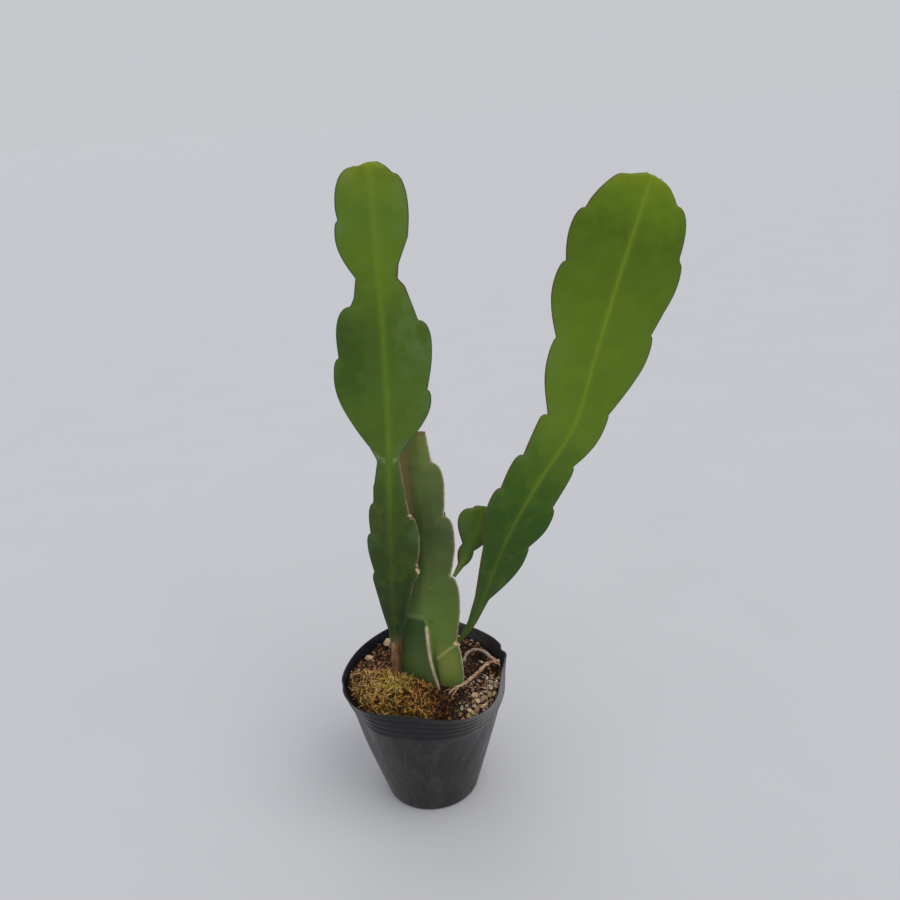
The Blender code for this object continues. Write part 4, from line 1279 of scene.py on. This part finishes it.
def make_moss(strew, ground_finish, pile_finish, frond_finish):
    """The moss: a dark lumpy cushion, a short pile of fine strands, and longer pale fronds over it."""
    around = azimuths(MOSS_SIDES)

    def ring(part, height):
        places = [moss_place(azimuth, moss_reach(azimuth) * part) for azimuth in around]
        return [Vector((x, y, height(x, y))) for x, y in places]

    def under(x, y):
        return soil_height(x, y) + MOSS_LIFT

    def edge(x, y):
        return under(x, y) + MOSS_EDGE * 0.6

    def clump(x, y):
        return noise.noise(Vector((x / 2.6, y / 2.6, 5))) + 0.5 * noise.noise(Vector((x / 1.3, y / 1.3, 2)))

    def top(x, y):
        return moss_top(x, y) + 1.6 * clump(x, y) - 1.2

    shares = (0.985, 0.95, *np.linspace(0.9, 0.05, 26))
    rings = [ring(part, under) for part in (0.3, 0.65, 0.97)]
    rings += [ring(1.0, edge), *(ring(part, top) for part in shares)]
    cushion = place_mesh("moss_cushion", *loft(rings))
    cushion.data.materials.append(ground_finish)

    kinds = {kind: [] for kind in ("pile", "fronds", "tone", "light")}
    points = [point for part in shares for point in ring(part, top)]
    for x, y, _ in points:
        clear = smoothstep((min(stem_room(x, y), 3) - 0.7) / 0.8)
        high = smoothstep((clump(x, y) + 0.3) / 0.6)
        wall = math.hypot(*soil_place(math.atan2(y, x), 0.4)) - math.hypot(x, y)
        gap, rust, pale = (in_spots(x, y, spots) for spots in (MOSS_GAPS, MOSS_RUST, MOSS_PALE))
        brown = rise(x, 1, 8)
        clear *= smoothstep((wall - 1.3) / 1.2)
        kinds["pile"].append(clear * (0.3 + 0.7 * high) * (1 - 0.7 * gap))
        clear *= smoothstep((wall - 2.6) / 2.2)
        long = 0.35 + 0.75 * pale + 0.3 * rust
        kinds["fronds"].append(clear * (0.1 + 0.9 * high) * (1 - 0.9 * gap) * long)
        kinds["tone"].append(0.4 - 0.3 * pale + 0.4 * rust * (1 - brown) + 0.6 * brown)
        # light: how much painted light the strands get, more on high clumps and less in the gaps.
        kinds["light"].append(high * (1 - 0.6 * gap) * (1 - 0.3 * brown))
    field = place_mesh("moss_field", points, bands(len(shares), MOSS_SIDES), kinds)
    rng = random.Random(8)
    made = [cushion]
    for name, where, length, bow, leaves, per_area, small, large, lean, finish in (
            ("moss_pile", "pile", 3.0, 0.5, 5, 1.7e6, 0.6, 1.15, 1.0, pile_finish),
            ("moss_fronds", "fronds", 4.6, 0.95, 7, 1.25e6, 0.75, 1.25, 1.1, frond_finish)):
        shapes = shape_set(name + "_shapes", [moss_strand(f"{name}_{i}", rng, length, bow, leaves)
                                              for i in range(7)])
        made.append(grow(name, field, strew, Shapes=shapes, Per_area=per_area, Where=where, Small=small,
                         Large=large, Lean=lean, Sink=0.35 * MM, Seed=77, Finish=finish))
        drop_set(shapes)
    bpy.data.objects.remove(field)
    return made


def make_roots(finish):
    """The roots on top of the mix, and the knob where two of them meet."""
    data = bpy.data.curves.new("root_lines", "CURVE")
    data.dimensions = "3D"
    for points, radius, taper in ROOTS:
        path = Path(points)
        stations = np.linspace(path.start, path.end, max(12, round(path.end / ROOT_STEP)))
        spline = data.splines.new("POLY")
        spline.points.add(len(stations) - 1)
        for point, station in zip(spline.points, stations):
            share = station / path.end
            knot = 1 + 0.14 * math.sin(station * 1.3) + 0.3 * math.exp(-((station % 5.3 - 3) / 0.6) ** 2)
            point.co = (*(path.at(station) * MM), 1)
            point.radius = radius * (1 - taper * share) * knot * 0.92 * MM
    lines = bpy.data.objects.new("root_lines", data)
    bpy.context.scene.collection.objects.link(lines)
    made = grow("dry_roots", lines, sweep_tree(), Sides=ROOT_SIDES, Knobs=ROOT_BUMPS * MM, Finish=finish)
    bpy.data.objects.remove(lines)
    work = bmesh.new()
    bmesh.ops.create_icosphere(work, subdivisions=4, radius=1)
    for vert in work.verts:
        size = 1 + 0.4 * noise.noise(vert.co * 1.7) + 0.15 * noise.noise(vert.co * 5)
        vert.co = Vector(a * b * size * MM for a, b in zip(vert.co, KNOB_SIZE)) + Vector(KNOB) * MM
    for face in work.faces:
        face.smooth = True
    work.from_mesh(made.data)
    work.to_mesh(made.data)
    work.free()
    return made


WOOLLY_PATCH = 0.6            # half the size of the patch that an areole's hairs grow on
YOUNG_PATCH = 0.28
WOOLLY_UP_TO = 140            # the tall stem's right edge is woolly up to this station


def areole_patches():
    """A tiny patch of skin at every notch of every stem, with how woolly it is."""
    points, faces, old, fresh = [], [], [], []
    for stem in (MOTHER_PAD, LEFT_SHOOT, RIGHT_SHOOT, SMALL_SHOOT):
        for place, wing in enumerate(stem.wings):
            for notch, reach in wing.notches():
                if notch < 0 or notch > stem.path.end - 1:
                    continue
                centre, across, beyond, angles = wing_frames(stem, notch)
                out = across * math.cos(angles[place]) + beyond * math.sin(angles[place])
                aside = stem.path.along(notch).cross(out)
                spot = centre + out * (reach + 0.05) + stem.path.along(notch) * 0.25
                facing = (out * 0.75 + stem.path.along(notch) * 0.6).normalized()
                over = aside.cross(facing)
                woolly = stem is MOTHER_PAD or (stem is LEFT_SHOOT and place == 0
                                                 and notch < WOOLLY_UP_TO)
                size = WOOLLY_PATCH if woolly else YOUNG_PATCH
                start = len(points)
                points += [spot + aside * size - over * size, spot + aside * size + over * size,
                           spot - aside * size + over * size, spot - aside * size - over * size]
                faces.append((start, start + 1, start + 2, start + 3))
                old += [float(woolly)] * 4
                fresh += [float(not woolly)] * 4
    return place_mesh("areole_patches", points, faces, {"old": old, "fresh": fresh})


def make_wool(strew, old_finish, fresh_finish):
    """Wool on the areoles: thick tan tufts on the old pad, a few short hairs on the young stems."""
    rng = random.Random(3)
    patches = areole_patches()
    hairs = shape_set("hairs", [wool_hair(f"hair_{i}", rng) for i in range(4)])
    made = []
    for name, where, per_area, small, large, finish in (
            ("old_wool", "old", 4.5e7, 0.9, 1.9, old_finish),
            ("stem_wool", "fresh", 4.2e7, 0.45, 0.9, fresh_finish)):
        made.append(grow(name, patches, strew, Shapes=hairs, Per_area=per_area, Where=where, Small=small,
                         Large=large, Lean=0.95, Sink=0.1 * MM, Seed=61, Finish=finish))
    drop_set(hairs)
    bpy.data.objects.remove(patches)
    return made


def make_teeth(name, lay, shape, table, finish):
    """Small teeth or spines on given places of the stems."""
    rng = random.Random(4)
    points, sizes = [], []
    for stem, spots in table:
        for station, offset, size in spots:
            inside = min(station, stem.path.end)
            centre, across, _, _ = wing_frames(stem, inside)
            points.append(centre + across * offset + stem.path.along(inside) * (station - inside))
            sizes.append(size)
    spots = place_mesh("spots", points, [], {"size": sizes, "tint": [0.5] * len(sizes)})
    shapes = shape_set(name + "_shapes", [shape(f"{name}_{i}", rng) for i in range(3)])
    made = grow(name, spots, lay, Shapes=shapes, Lean=0.35, Seed=9, Finish=finish)
    drop_set(shapes)
    bpy.data.objects.remove(spots)
    return made


# Finishes

def paint_plastic(board):
    """Black soft plastic: long upright creases with dust streaks, and painted light on the band and inside.
    """
    creases = board.noise(8, 3, 0.5, (1, 1, 0.14))
    streaks = board.noise(2.2, 4, 0.6, (1, 1, 0.05))
    clouds, specks = board.noise(16, 3), board.noise(0.45, 2, 0.6)
    grimy = streaks.rise(0.5, 0.66) * 0.45 + creases.rise(0.5, 0.66) * 0.3 + clouds.rise(0.5, 0.68) * 0.3
    dust = grimy * specks.rise(0.25, 0.6) * board.place().part(2).rise(64, 56)
    spots = board.cells(3.4).rise(0.08, 0.04) * clouds.rise(0.5, 0.62)
    facing = board.node("ShaderNodeNewGeometry", out=1)
    outward = board.node("ShaderNodeVectorMath", {"operation": "DOT_PRODUCT"},
                         {0: facing, 1: board.place((1, 1, 0))}, out=1)
    east, back, height = (board.place().part(axis) for axis in range(3))
    colour = board.mix(dust, board.mix(height.rise(57, 60), (14, 13, 14), (13, 13, 17)), (76, 68, 63))
    # Painted highlight: the outer face of the band is coloured lighter on its right front.
    highlight_spread = east.rise(10, 44) * back.rise(0, -18) * (clouds.rise(0.3, 0.7) * 0.3 + 0.32)
    band_highlight = outward.rise(-8, 0) * height.rise(57, 60) * highlight_spread
    colour = board.mix(band_highlight, colour, (132, 124, 120))
    # Painted shadow: a dark line under the band's step, on the outer face.
    under = outward.rise(-8, 0) * (height - 59.0).bell(1.5) * east.rise(34, 8) * 0.75
    colour = board.mix(under, colour, (9, 9, 16))
    # Inside of the wall: a painted bluish reflection sheen on the left, and lighter grey dust towards the
    # right.
    inner_sheen_and_dust = board.mix(east.rise(-30, 12) * (1 - east.rise(-30, -36)), (38, 43, 56), (84, 80, 84))
    colour = board.mix(outward.rise(0, -8) * (clouds.rise(0.35, 0.65) * 0.4 + 0.5), colour, inner_sheen_and_dust)
    colour = board.mix(spots * 0.4, colour, (112, 98, 84))
    return colour, 0.3 + dust * 0.35, creases * 1.1 + streaks * 0.12 + specks * 0.03


def hollows(board):
    """Painted shade where the mix lies low: beside the old pad's foot, and behind it on the right."""
    east, back = board.place().part(0), board.place().part(1)
    return (east - 18).bell(6) * (back + 21).bell(6) + (east - 27).bell(9) * (back - 22).bell(8)


def mottled(size, *stops, detail=4, dull=0.9, bump=1.0):
    """A rough finish whose colour and height vary together, in spots of about this size."""
    def paint(board):
        grain = board.noise(size, detail, 0.7)
        return board.ramp(grain, *stops), dull, grain * bump
    return paint


def grain_paint(*stops, depth=0.25, size=0.35, spread=0.3):
    """A finish of strewn grains whose tint runs through the stops."""
    def paint(board):
        mottle = board.noise(size, 3, 0.65)
        tone = board.ramp(board.attribute("tint") + (mottle - 0.5) * spread, *stops)
        # Painted shade: grains in the low places that hollows marks are darkened.
        return board.mix(hollows(board) * 0.5, tone, (22, 19, 15)), 0.92, mottle * depth
    return paint


def moss_tone(board):
    """The tone that runs through the moss, from golden to brown."""
    return (board.attribute("tone") + (board.attribute("tint") - 0.5) * 0.45
            + (board.noise(3.5, 3) - 0.5) * 0.7)


def paint_pile(board):
    """The short moss: olive to rust on the clumps, with painted shade at the foot and in the hollows."""
    body = board.ramp(moss_tone(board), (0.0, (144, 134, 40)), (0.25, (156, 126, 46)),
                      (0.5, (146, 102, 44)), (0.75, (118, 68, 34)), (1.0, (58, 42, 26)))
    body = board.mix(board.place().part(0).rise(-20, -34) * 0.35, body, (196, 156, 98))
    # Painted shade: each strand darkens towards its foot, and more where the light attribute is low.
    lit = board.attribute("height").rise(0.05, 0.8) * (0.25 + board.attribute("light") * 0.75)
    return board.mix(lit, (24, 18, 9), body), 0.9, None


def paint_fronds(board):
    """The long moss fronds: painted shade at the foot, with pale golden to rust tips that are partly a
    painted highlight.
    """
    tone = moss_tone(board)
    body = board.ramp(tone, (0.0, (190, 166, 66)), (0.3, (208, 166, 82)), (0.55, (200, 132, 66)),
                      (0.8, (164, 88, 42)), (1.0, (96, 64, 38)))
    pale = board.ramp(tone, (0.0, (240, 218, 130)), (0.4, (252, 212, 148)), (0.7, (236, 160, 98)),
                      (1.0, (158, 118, 74)))
    height = board.attribute("height")
    # Pale tips: partly the fronds' own paler tips, partly a painted highlight.
    tipped = board.mix(height.rise(0.45, 1.0) * (0.35 + board.attribute("tint") * 0.65), body, pale)
    tipped = board.mix(board.place().part(0).rise(-20, -34) * 0.4, tipped, (236, 206, 152))
    # Painted shade: darker towards the foot and where the light attribute is low.
    lit = height.rise(0.02, 0.45) * (0.45 + board.attribute("light") * 0.55)
    return board.mix(lit, (34, 24, 12), tipped), 0.85, None


def paint_root(board):
    """Dry root bark: pale, tan and red-brown in its rings, made paler on top as a painted highlight and
    darker below as painted shade.
    """
    rings = board.noise(0.7, 4, 0.65)
    length = board.noise(4, 2)
    # Painted light: the bark is made lighter where it faces up and darker where it faces down.
    painted_top_light = board.node("ShaderNodeNewGeometry", out=1).part(2).rise(-0.5, 0.8)
    tone = board.ramp(rings * 0.7 + length * 0.3 + painted_top_light * 0.16, (0.43, (54, 30, 20)),
                      (0.53, (104, 66, 42)), (0.62, (150, 114, 84)), (0.76, (208, 186, 160)))
    east, back, up = (board.place().part(axis) for axis in range(3))
    tone = board.mix(back.rise(2, 12) * 0.45, tone, (164, 156, 146))
    tone = board.mix(east.rise(40.6, 41.4) * up.rise(73.8, 72.6) * 0.85, tone, (34, 24, 18))
    return board.mix(up.rise(70.8, 68.5), tone, (52, 38, 28)), 0.85, rings * 0.3


def skin_paint(stops, rib, rib_width, rib_share, rib_from, margins, wax=0.3, scars=None):
    """A stem's skin: colour along its length, a lighter midrib that shows more above a station, side
    veins, and darker margins. The margins are the colours of the right and the left edge."""
    first, last = stops[0][0], stops[-1][0]

    def paint(board):
        station, out = board.attribute("station"), board.attribute("out")
        inset, vein = board.attribute("inset"), board.attribute("vein")
        clouds, fine = board.noise(13, 3, 0.6), board.noise(1.1, 3, 0.6)
        along = (station + (clouds - 0.5) * 20 - first) / (last - first)
        base = board.ramp(along, *(((place - first) / (last - first), colour) for place, colour in stops))
        base = board.dim(base, 0.82 + clouds * 0.3 + (fine - 0.5) * 0.14)
        patches = board.noise(9, 2).rise(0.48, 0.68)
        base = board.mix(patches * 0.1, base, rib)
        # Bluish wax bloom on the flats and margins, partly a painted sheen.
        wax_and_sheen = (clouds.rise(0.48, 0.75) * inset.rise(10, 2) + inset.rise(3.5, 0.3) * 0.3) * wax
        base = board.mix(wax_and_sheen, base, (92, 122, 92))
        base = board.mix(vein * 0.06, base, rib)
        midline = (out.bell(rib_width) + out.bell(rib_width * 2.6) * 0.35) * (0.6 + fine * 0.6)
        shown = station.rise(rib_from, rib_from + 90) * 0.75 + 0.25
        base = board.mix(midline * shown * rib_share * inset.rise(1, 4), base, rib)
        margin = board.mix(board.attribute("wing").rise(0.4, 0.6), margins[0], margins[1])
        edge = inset.bell(0.5) * (board.noise(7, 2).rise(0.3, 0.6) * 0.45 + 0.45)
        base = board.mix(edge, base, margin)
        dots = board.cells(3.4).rise(0.11, 0.06) * board.noise(12, 2).rise(0.56, 0.64)
        base = board.mix(dots * 0.6, base, (108, 88, 52))
        if scars is not None:
            base = scars(board, base, station, out, inset, fine)
        pores = board.cells(0.5)
        return base, 0.42 + fine * 0.14 + wax_and_sheen * 0.3, fine * 0.06 + pores * 0.03
    return paint


def left_scars(board, base, station, out, inset, fine):
    """The tall stem's woody foot, the dry tan edge above it, the scurf and rust at its waists, and a
    painted shade and sheen on its middle segment.
    """
    right, face = board.attribute("wing").rise(0.6, 0.4), board.attribute("face")
    grain = board.noise(1.3, 4, 0.7, (1, 1, 0.22))
    wood = board.ramp(grain + (1 - right) * 0.1, (0.32, (60, 42, 30)), (0.5, (112, 80, 54)),
                      (0.66, (152, 114, 82)), (0.8, (186, 160, 130)))
    grey = (station - 24 - (fine - 0.5) * 5).bell(3.5)
    base = board.mix(grey * 0.6, base, (108, 100, 72))
    base = board.mix((station + (fine - 0.5) * 6).rise(25, 21), base, wood)
    dry = right * inset.bell(0.5) * (station.rise(32, 72) * 0.7 + 0.3)
    dry = dry * station.rise(30, 36) * station.rise(136, 126)
    base = board.mix(dry * (board.noise(4, 3).rise(0.35, 0.55) * 0.55 + 0.3), base, (146, 128, 90))
    scurf = (station - 129.5 - out * 0.55 - (fine - 0.5) * 2).bell(1.3)
    scurf = scurf * out.rise(0.8, 2.2) * fine.rise(0.3, 0.55)
    base = board.mix(scurf * 0.5, base, (138, 156, 112))
    rust = (station - 219).bell(7) * inset.rise(2.2, 0.3) * right
    base = board.mix(rust * 0.7, base, (104, 70, 36))
    clouds = board.noise(9, 3)
    # Painted shade on the left half of the middle segment, and a painted bluish sheen on its right half.
    painted_left_shade = (1 - right) * station.rise(150, 172) * station.rise(212, 192) * out.rise(-1, 14)
    base = board.mix(painted_left_shade * (clouds.rise(0.3, 0.6) * 0.5 + 0.1), base, (52, 76, 24))
    painted_right_sheen = right * station.rise(165, 180) * station.rise(222, 204) * out.rise(2, 16) * face.rise(0.4, 0.6)
    return board.mix(painted_right_sheen * clouds.rise(0.3, 0.65) * 0.4, base, (106, 136, 84))


def pad_scars(board, base, station, out, inset, fine):
    """The old pad's corky rib, its dry brown strip, the raised fold at its low areole, its pale
    margins, painted shade and dry skin beside the rib, and painted light on the third wing's right side."""
    wing, face, vein = board.attribute("wing"), board.attribute("face"), board.attribute("vein")
    grain = board.noise(0.9, 4, 0.7, (1, 1, 0.4))
    cork = board.ramp(grain, (0.3, (126, 108, 78)), (0.55, (176, 164, 128)), (0.78, (214, 204, 172)))
    left_face, right_face = face.rise(0.4, 0.6) * face.rise(1.6, 1.4), face.rise(1.4, 1.6)
    low = station + (fine - 0.5) * 2
    # Painted shade: the face left of the rib, turned away from the light, is coloured darker.
    shaded = board.ramp(station / 40, (0.15, (92, 112, 66)), (0.35, (92, 116, 68)), (0.62, (72, 95, 56)),
                        (0.85, (54, 80, 44)))
    edge = low + out * 0.14
    base = board.mix(left_face * edge.rise(43, 39.5) * 0.85, base, shaded)
    fold = left_face * (edge - 41.6).bell(1.3)
    base = board.mix(fold * 0.35, base, (150, 162, 100))
    third = wing.rise(1.4, 1.6)
    # Painted light: the third wing's right side is coloured lighter where it renders dark.
    lit_side = third * right_face * station.rise(3, 9) * station.rise(40, 33)
    base = board.mix(lit_side * 0.75, base, (122, 146, 72))
    rib = third * station.rise(43.2, 41) * inset.rise(2.3, 1.3)
    base = board.mix(rib * (0.65 + fine * 0.5), base, cork)
    foot = third * station.rise(12, 0) * inset.rise(6, 2)
    base = board.mix(foot * 0.85, base, (168, 134, 98))
    # Low on the right face beside the rib: greyer dry skin, partly painted shade.
    beside = right_face * low.rise(24, 17) * out.rise(10, 3)
    base = board.mix(beside * 0.6, base, (86, 102, 66))
    base = board.mix(right_face * low.rise(9, 1) * out.rise(9, 4) * 0.75, base, (118, 96, 66))
    crease = vein.rise(0.3, 0.85) * right_face * (station - 19).bell(10.5)
    base = board.mix(crease * 0.75, base, (152, 168, 112))
    strip = left_face * station.rise(76, 92) * (out - 6.2).bell(2.8)
    base = board.mix(strip * (0.35 + grain * 0.8), base, (136, 112, 66))
    top = station.rise(132, 150) * (0.25 + fine * 0.5)
    base = board.mix(top, base, (140, 130, 68))
    base = board.mix(low.rise(140, 143) * 0.65, base, (112, 90, 62))
    broken = board.noise(4, 2).rise(0.36, 0.56) * 0.55 + 0.25
    base = board.mix(inset.bell(0.4) * broken, base, (204, 190, 160))
    glow = wing.rise(0.5, 0.4) * (station - 14).bell(9) * (out - 11).bell(5.5)
    return board.mix(glow * 0.5, base, (158, 160, 80))


def hair_paint(foot, tip):
    """Hairs from a colour at the foot to one at the tip, each a little unlike the next."""
    def paint(board):
        share = board.attribute("height") * 0.6 + board.attribute("tint") * 0.4
        return board.mix(share, foot, tip), 0.8, None
    return paint


def thorn_paint(foot, tip):
    """A tooth or a spine, from a colour at its foot to one at its tip."""
    def paint(board):
        return board.mix(board.attribute("height"), foot, tip), 0.6, None
    return paint


def paint_floor(board):
    """A pale grey, slightly cloudy."""
    return board.mix(board.noise(90, 2), (195, 196, 199), (199, 200, 203)), 0.8, None


# Light, camera and floor

FLOOR_REACH = 30000
FLOOR_BOTTOM = -40
FLOOR_TOP = -0.2


def set_camera():
    """The camera, tilted down and rolled a little."""
    pitch, roll = math.radians(PITCH), math.radians(ROLL)
    forward = Vector((0, math.cos(pitch), -math.sin(pitch)))
    right = Vector((1, 0, 0))
    up = right.cross(forward)
    across = right * math.cos(roll) - up * math.sin(roll)
    upward = right * math.sin(roll) + up * math.cos(roll)
    data = bpy.data.cameras.new("camera")
    data.lens, data.sensor_width = LENS, SENSOR
    data.clip_start, data.clip_end = 0.01, 100
    camera = bpy.data.objects.new("camera", data)
    turn = Matrix((across, upward, -forward)).transposed().to_4x4()
    camera.matrix_world = Matrix.Translation(Vector(EYE) * MM) @ turn
    bpy.context.scene.collection.objects.link(camera)
    bpy.context.scene.camera = camera


def add_light(name, direction, power, angle, colour):
    """A soft far-off light that shines from a direction."""
    data = bpy.data.lights.new(name, "SUN")
    data.energy, data.angle, data.color = power, math.radians(angle), colour
    light = bpy.data.objects.new(name, data)
    light.rotation_euler = (-Vector(direction)).to_track_quat("-Z", "Y").to_euler()
    bpy.context.scene.collection.objects.link(light)


def set_stage():
    """The sky, three soft lights and a wide pale floor just under the pot."""
    bpy.context.scene.view_settings.view_transform = "Standard"
    world = bpy.data.worlds.new("studio")
    world.use_nodes = True
    sky = world.node_tree.nodes["Background"]
    sky.inputs["Color"].default_value = linear((205, 206, 211))
    sky.inputs["Strength"].default_value = 0.93
    bpy.context.scene.world = world
    add_light("key", (0.75, -0.6, 1.35), 1.15, 50, (1.0, 0.985, 0.965))
    add_light("fill", (-0.8, -0.5, 0.9), 0.25, 70, (0.96, 0.98, 1.0))
    add_light("back", (-0.3, 0.9, 0.9), 0.35, 60, (1.0, 0.99, 0.97))
    rings = [[turn_point(radius, azimuth, z) for azimuth in azimuths(64)]
             for radius, z in ((FLOOR_REACH, FLOOR_BOTTOM), (FLOOR_REACH, FLOOR_TOP))]
    floor = place_mesh("floor", *loft(rings), smooth=False)
    floor.data.materials.append(finish_of("pale_floor", paint_floor, specular=0.2))


def grain_finishes():
    """The finish of each kind of grain on the mix."""
    return {
        "crumbs": finish_of("peat_crumbs", grain_paint(
            (0.0, (16, 13, 10)), (0.4, (42, 30, 21)), (0.75, (84, 58, 38)), (1.0, (128, 90, 58))), 0.15),
        "clods": finish_of("peat_clods", grain_paint(
            (0.0, (52, 34, 24)), (0.3, (98, 66, 46)), (0.65, (136, 94, 62)), (0.88, (166, 122, 82)),
            (1.0, (190, 152, 110)), size=0.8, spread=0.5, depth=0.5), 0.15),
        "grit": finish_of("pale_grit", grain_paint(
            (0.0, (70, 50, 38)), (0.18, (120, 88, 62)), (0.36, (210, 188, 144)), (0.48, (168, 140, 106)),
            (0.62, (126, 92, 78)), (0.78, (188, 158, 138)), (0.9, (148, 148, 114)), (1.0, (230, 224, 210)),
            spread=0.34, size=0.9, depth=0.4), 0.2),
        "specks": finish_of("pale_specks", grain_paint(
            (0.0, (128, 100, 72)), (0.5, (184, 162, 128)), (1.0, (216, 208, 192))), 0.2),
        "threads": finish_of("peat_threads", grain_paint(
            (0.0, (52, 34, 22)), (0.5, (100, 68, 42)), (1.0, (150, 114, 76))), 0.15),
    }


def stem_finishes():
    """The skin of each stem, by its node."""
    rib, teal, rust = (112, 138, 38), (48, 68, 54), (98, 60, 42)
    # The tall and leaning stems' stops darken towards the foot: partly the skin's own colour, partly
    # painted shade where the lower parts get less light.
    return {
        "left_shoot": finish_of("tall_stem_skin", skin_paint(
            ((-20, (36, 50, 34)), (22, (40, 55, 33)), (68, (54, 72, 30)), (105, (65, 84, 32)),
             (138, (80, 104, 34)), (165, (82, 110, 35)), (195, (76, 103, 32)), (226, (95, 121, 29)),
             (250, (92, 122, 35)), (266, (106, 127, 32)), (272, (124, 136, 26))),
            rib, 1.1, 0.34, 60, (teal, teal), scars=left_scars), specular=0.14),
        "right_shoot": finish_of("leaning_stem_skin", skin_paint(
            ((0, (64, 86, 36)), (25, (56, 81, 32)), (50, (52, 78, 25)), (85, (55, 87, 25)),
             (110, (76, 106, 29)), (130, (96, 124, 32)), (180, (93, 120, 26)), (225, (80, 106, 18)),
             (243, (98, 126, 22)), (254, (120, 138, 22))),
            (122, 142, 34), 0.75, 0.5, 40, (teal, rust), wax=0.16), specular=0.14),
        "small_shoot": finish_of("young_stem_skin", skin_paint(
            ((0, (90, 108, 52)), (14, (75, 102, 44)), (30, (82, 108, 46)), (40, (90, 114, 44))),
            rib, 0.8, 0.2, -60, (rust, rust), wax=0.1), specular=0.14),
        "mother_pad": finish_of("old_pad_skin", skin_paint(
            ((-20, (84, 108, 50)), (10, (92, 118, 52)), (36, (98, 122, 54)), (60, (86, 106, 51)),
             (90, (72, 88, 47)), (120, (95, 110, 58)), (150, (126, 138, 72))),
            (128, 142, 84), 1.6, 0.06, 0, ((118, 106, 78), (118, 106, 78)), wax=0.2, scars=pad_scars),
            specular=0.14),
    }


def make_stems(skins):
    """The four stems, each with its node and slot."""
    made = []
    for node, slot, name, stem in (("mother_pad", "old_stem", "old_pad", MOTHER_PAD),
                                   ("left_shoot", "stem", "tall_stem", LEFT_SHOOT),
                                   ("right_shoot", "stem", "leaning_stem", RIGHT_SHOOT),
                                   ("small_shoot", "stem", "young_stem", SMALL_SHOOT)):
        piece = stem_skin(name, stem)
        piece.data.materials.append(skins[node])
        if stem is MOTHER_PAD:
            callus = mottled(1.2, (0.3, (86, 64, 40)), (0.55, (140, 112, 72)), (0.75, (176, 150, 104)),
                             bump=0.5)
            piece.data.materials.append(finish_of("callused_cut", callus, specular=0.3))
            for point, outward in PAD_CUTS:
                slice_end(piece, point, outward, 1)
        made.append((node, slot, piece))
    return made


def main():
    """Builds every piece, gives each its body and hides the solid that it replaces."""
    set_camera()
    set_stage()
    strew, lay = strew_tree(), lay_tree()
    mix_paint = mottled(1.6, (0.3, (14, 11, 9)), (0.55, (38, 27, 20)), (0.78, (78, 57, 40)),
                        dull=0.95, bump=0.8)
    moss_ground = mottled(1.2, (0.3, (18, 13, 8)), (0.55, (48, 34, 18)), (0.78, (92, 66, 34)), dull=0.95)
    knob_paint = mottled(0.5, (0.35, (150, 120, 80)), (0.5, (212, 184, 140)), (0.65, (244, 230, 200)),
                         detail=3, bump=0.3)
    tooth_paint = thorn_paint((112, 136, 36), (134, 112, 44))
    spine_paint = thorn_paint((120, 96, 66), (58, 50, 38))
    mix = make_mix(finish_of("dark_mix", mix_paint, specular=0.2))
    cushion, pile, fronds = make_moss(strew, finish_of("moss_ground", moss_ground, specular=0.15),
                                      finish_of("moss_pile", paint_pile, specular=0.15),
                                      finish_of("moss_fronds", paint_fronds, specular=0.2))
    roots = make_roots(finish_of("root_bark", paint_root, specular=0.3))
    pieces = [("pot", "pot", make_pot(finish_of("black_plastic", paint_plastic, specular=0.4))),
              ("soil", "soil", mix), ("moss", "moss", cushion), (None, "moss", pile),
              (None, "moss", fronds), ("surface_roots", "roots", roots), *make_stems(stem_finishes())]
    pieces += [(None, "soil", piece) for piece in make_grains(strew, lay, grain_finishes())]
    old_wool, stem_wool = make_wool(
        strew, finish_of("tan_wool", hair_paint((164, 132, 94), (236, 220, 188)), specular=0.2),
        finish_of("short_hairs", hair_paint((110, 86, 54), (186, 166, 126)), specular=0.2))
    pieces += [(None, "old_stem", old_wool), (None, "stem", stem_wool),
               (None, "stem", make_teeth("tip_teeth", lay, tip_tooth, TIP_TEETH,
                                         finish_of("tooth_green", tooth_paint, specular=0.2))),
               (None, "old_stem", make_teeth("areole_knobs", lay, areole_knob, AREOLE_KNOBS,
                                             finish_of("woolly_tan", knob_paint, specular=0.2))),
               (None, "old_stem", make_teeth("pad_spines", lay, pad_spine, PAD_SPINES,
                                             finish_of("spine_brown", spine_paint, specular=0.3)))]
    for node, slot, piece in pieces:
        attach(piece, "root")
        if node is not None:
            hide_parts(node)


main()
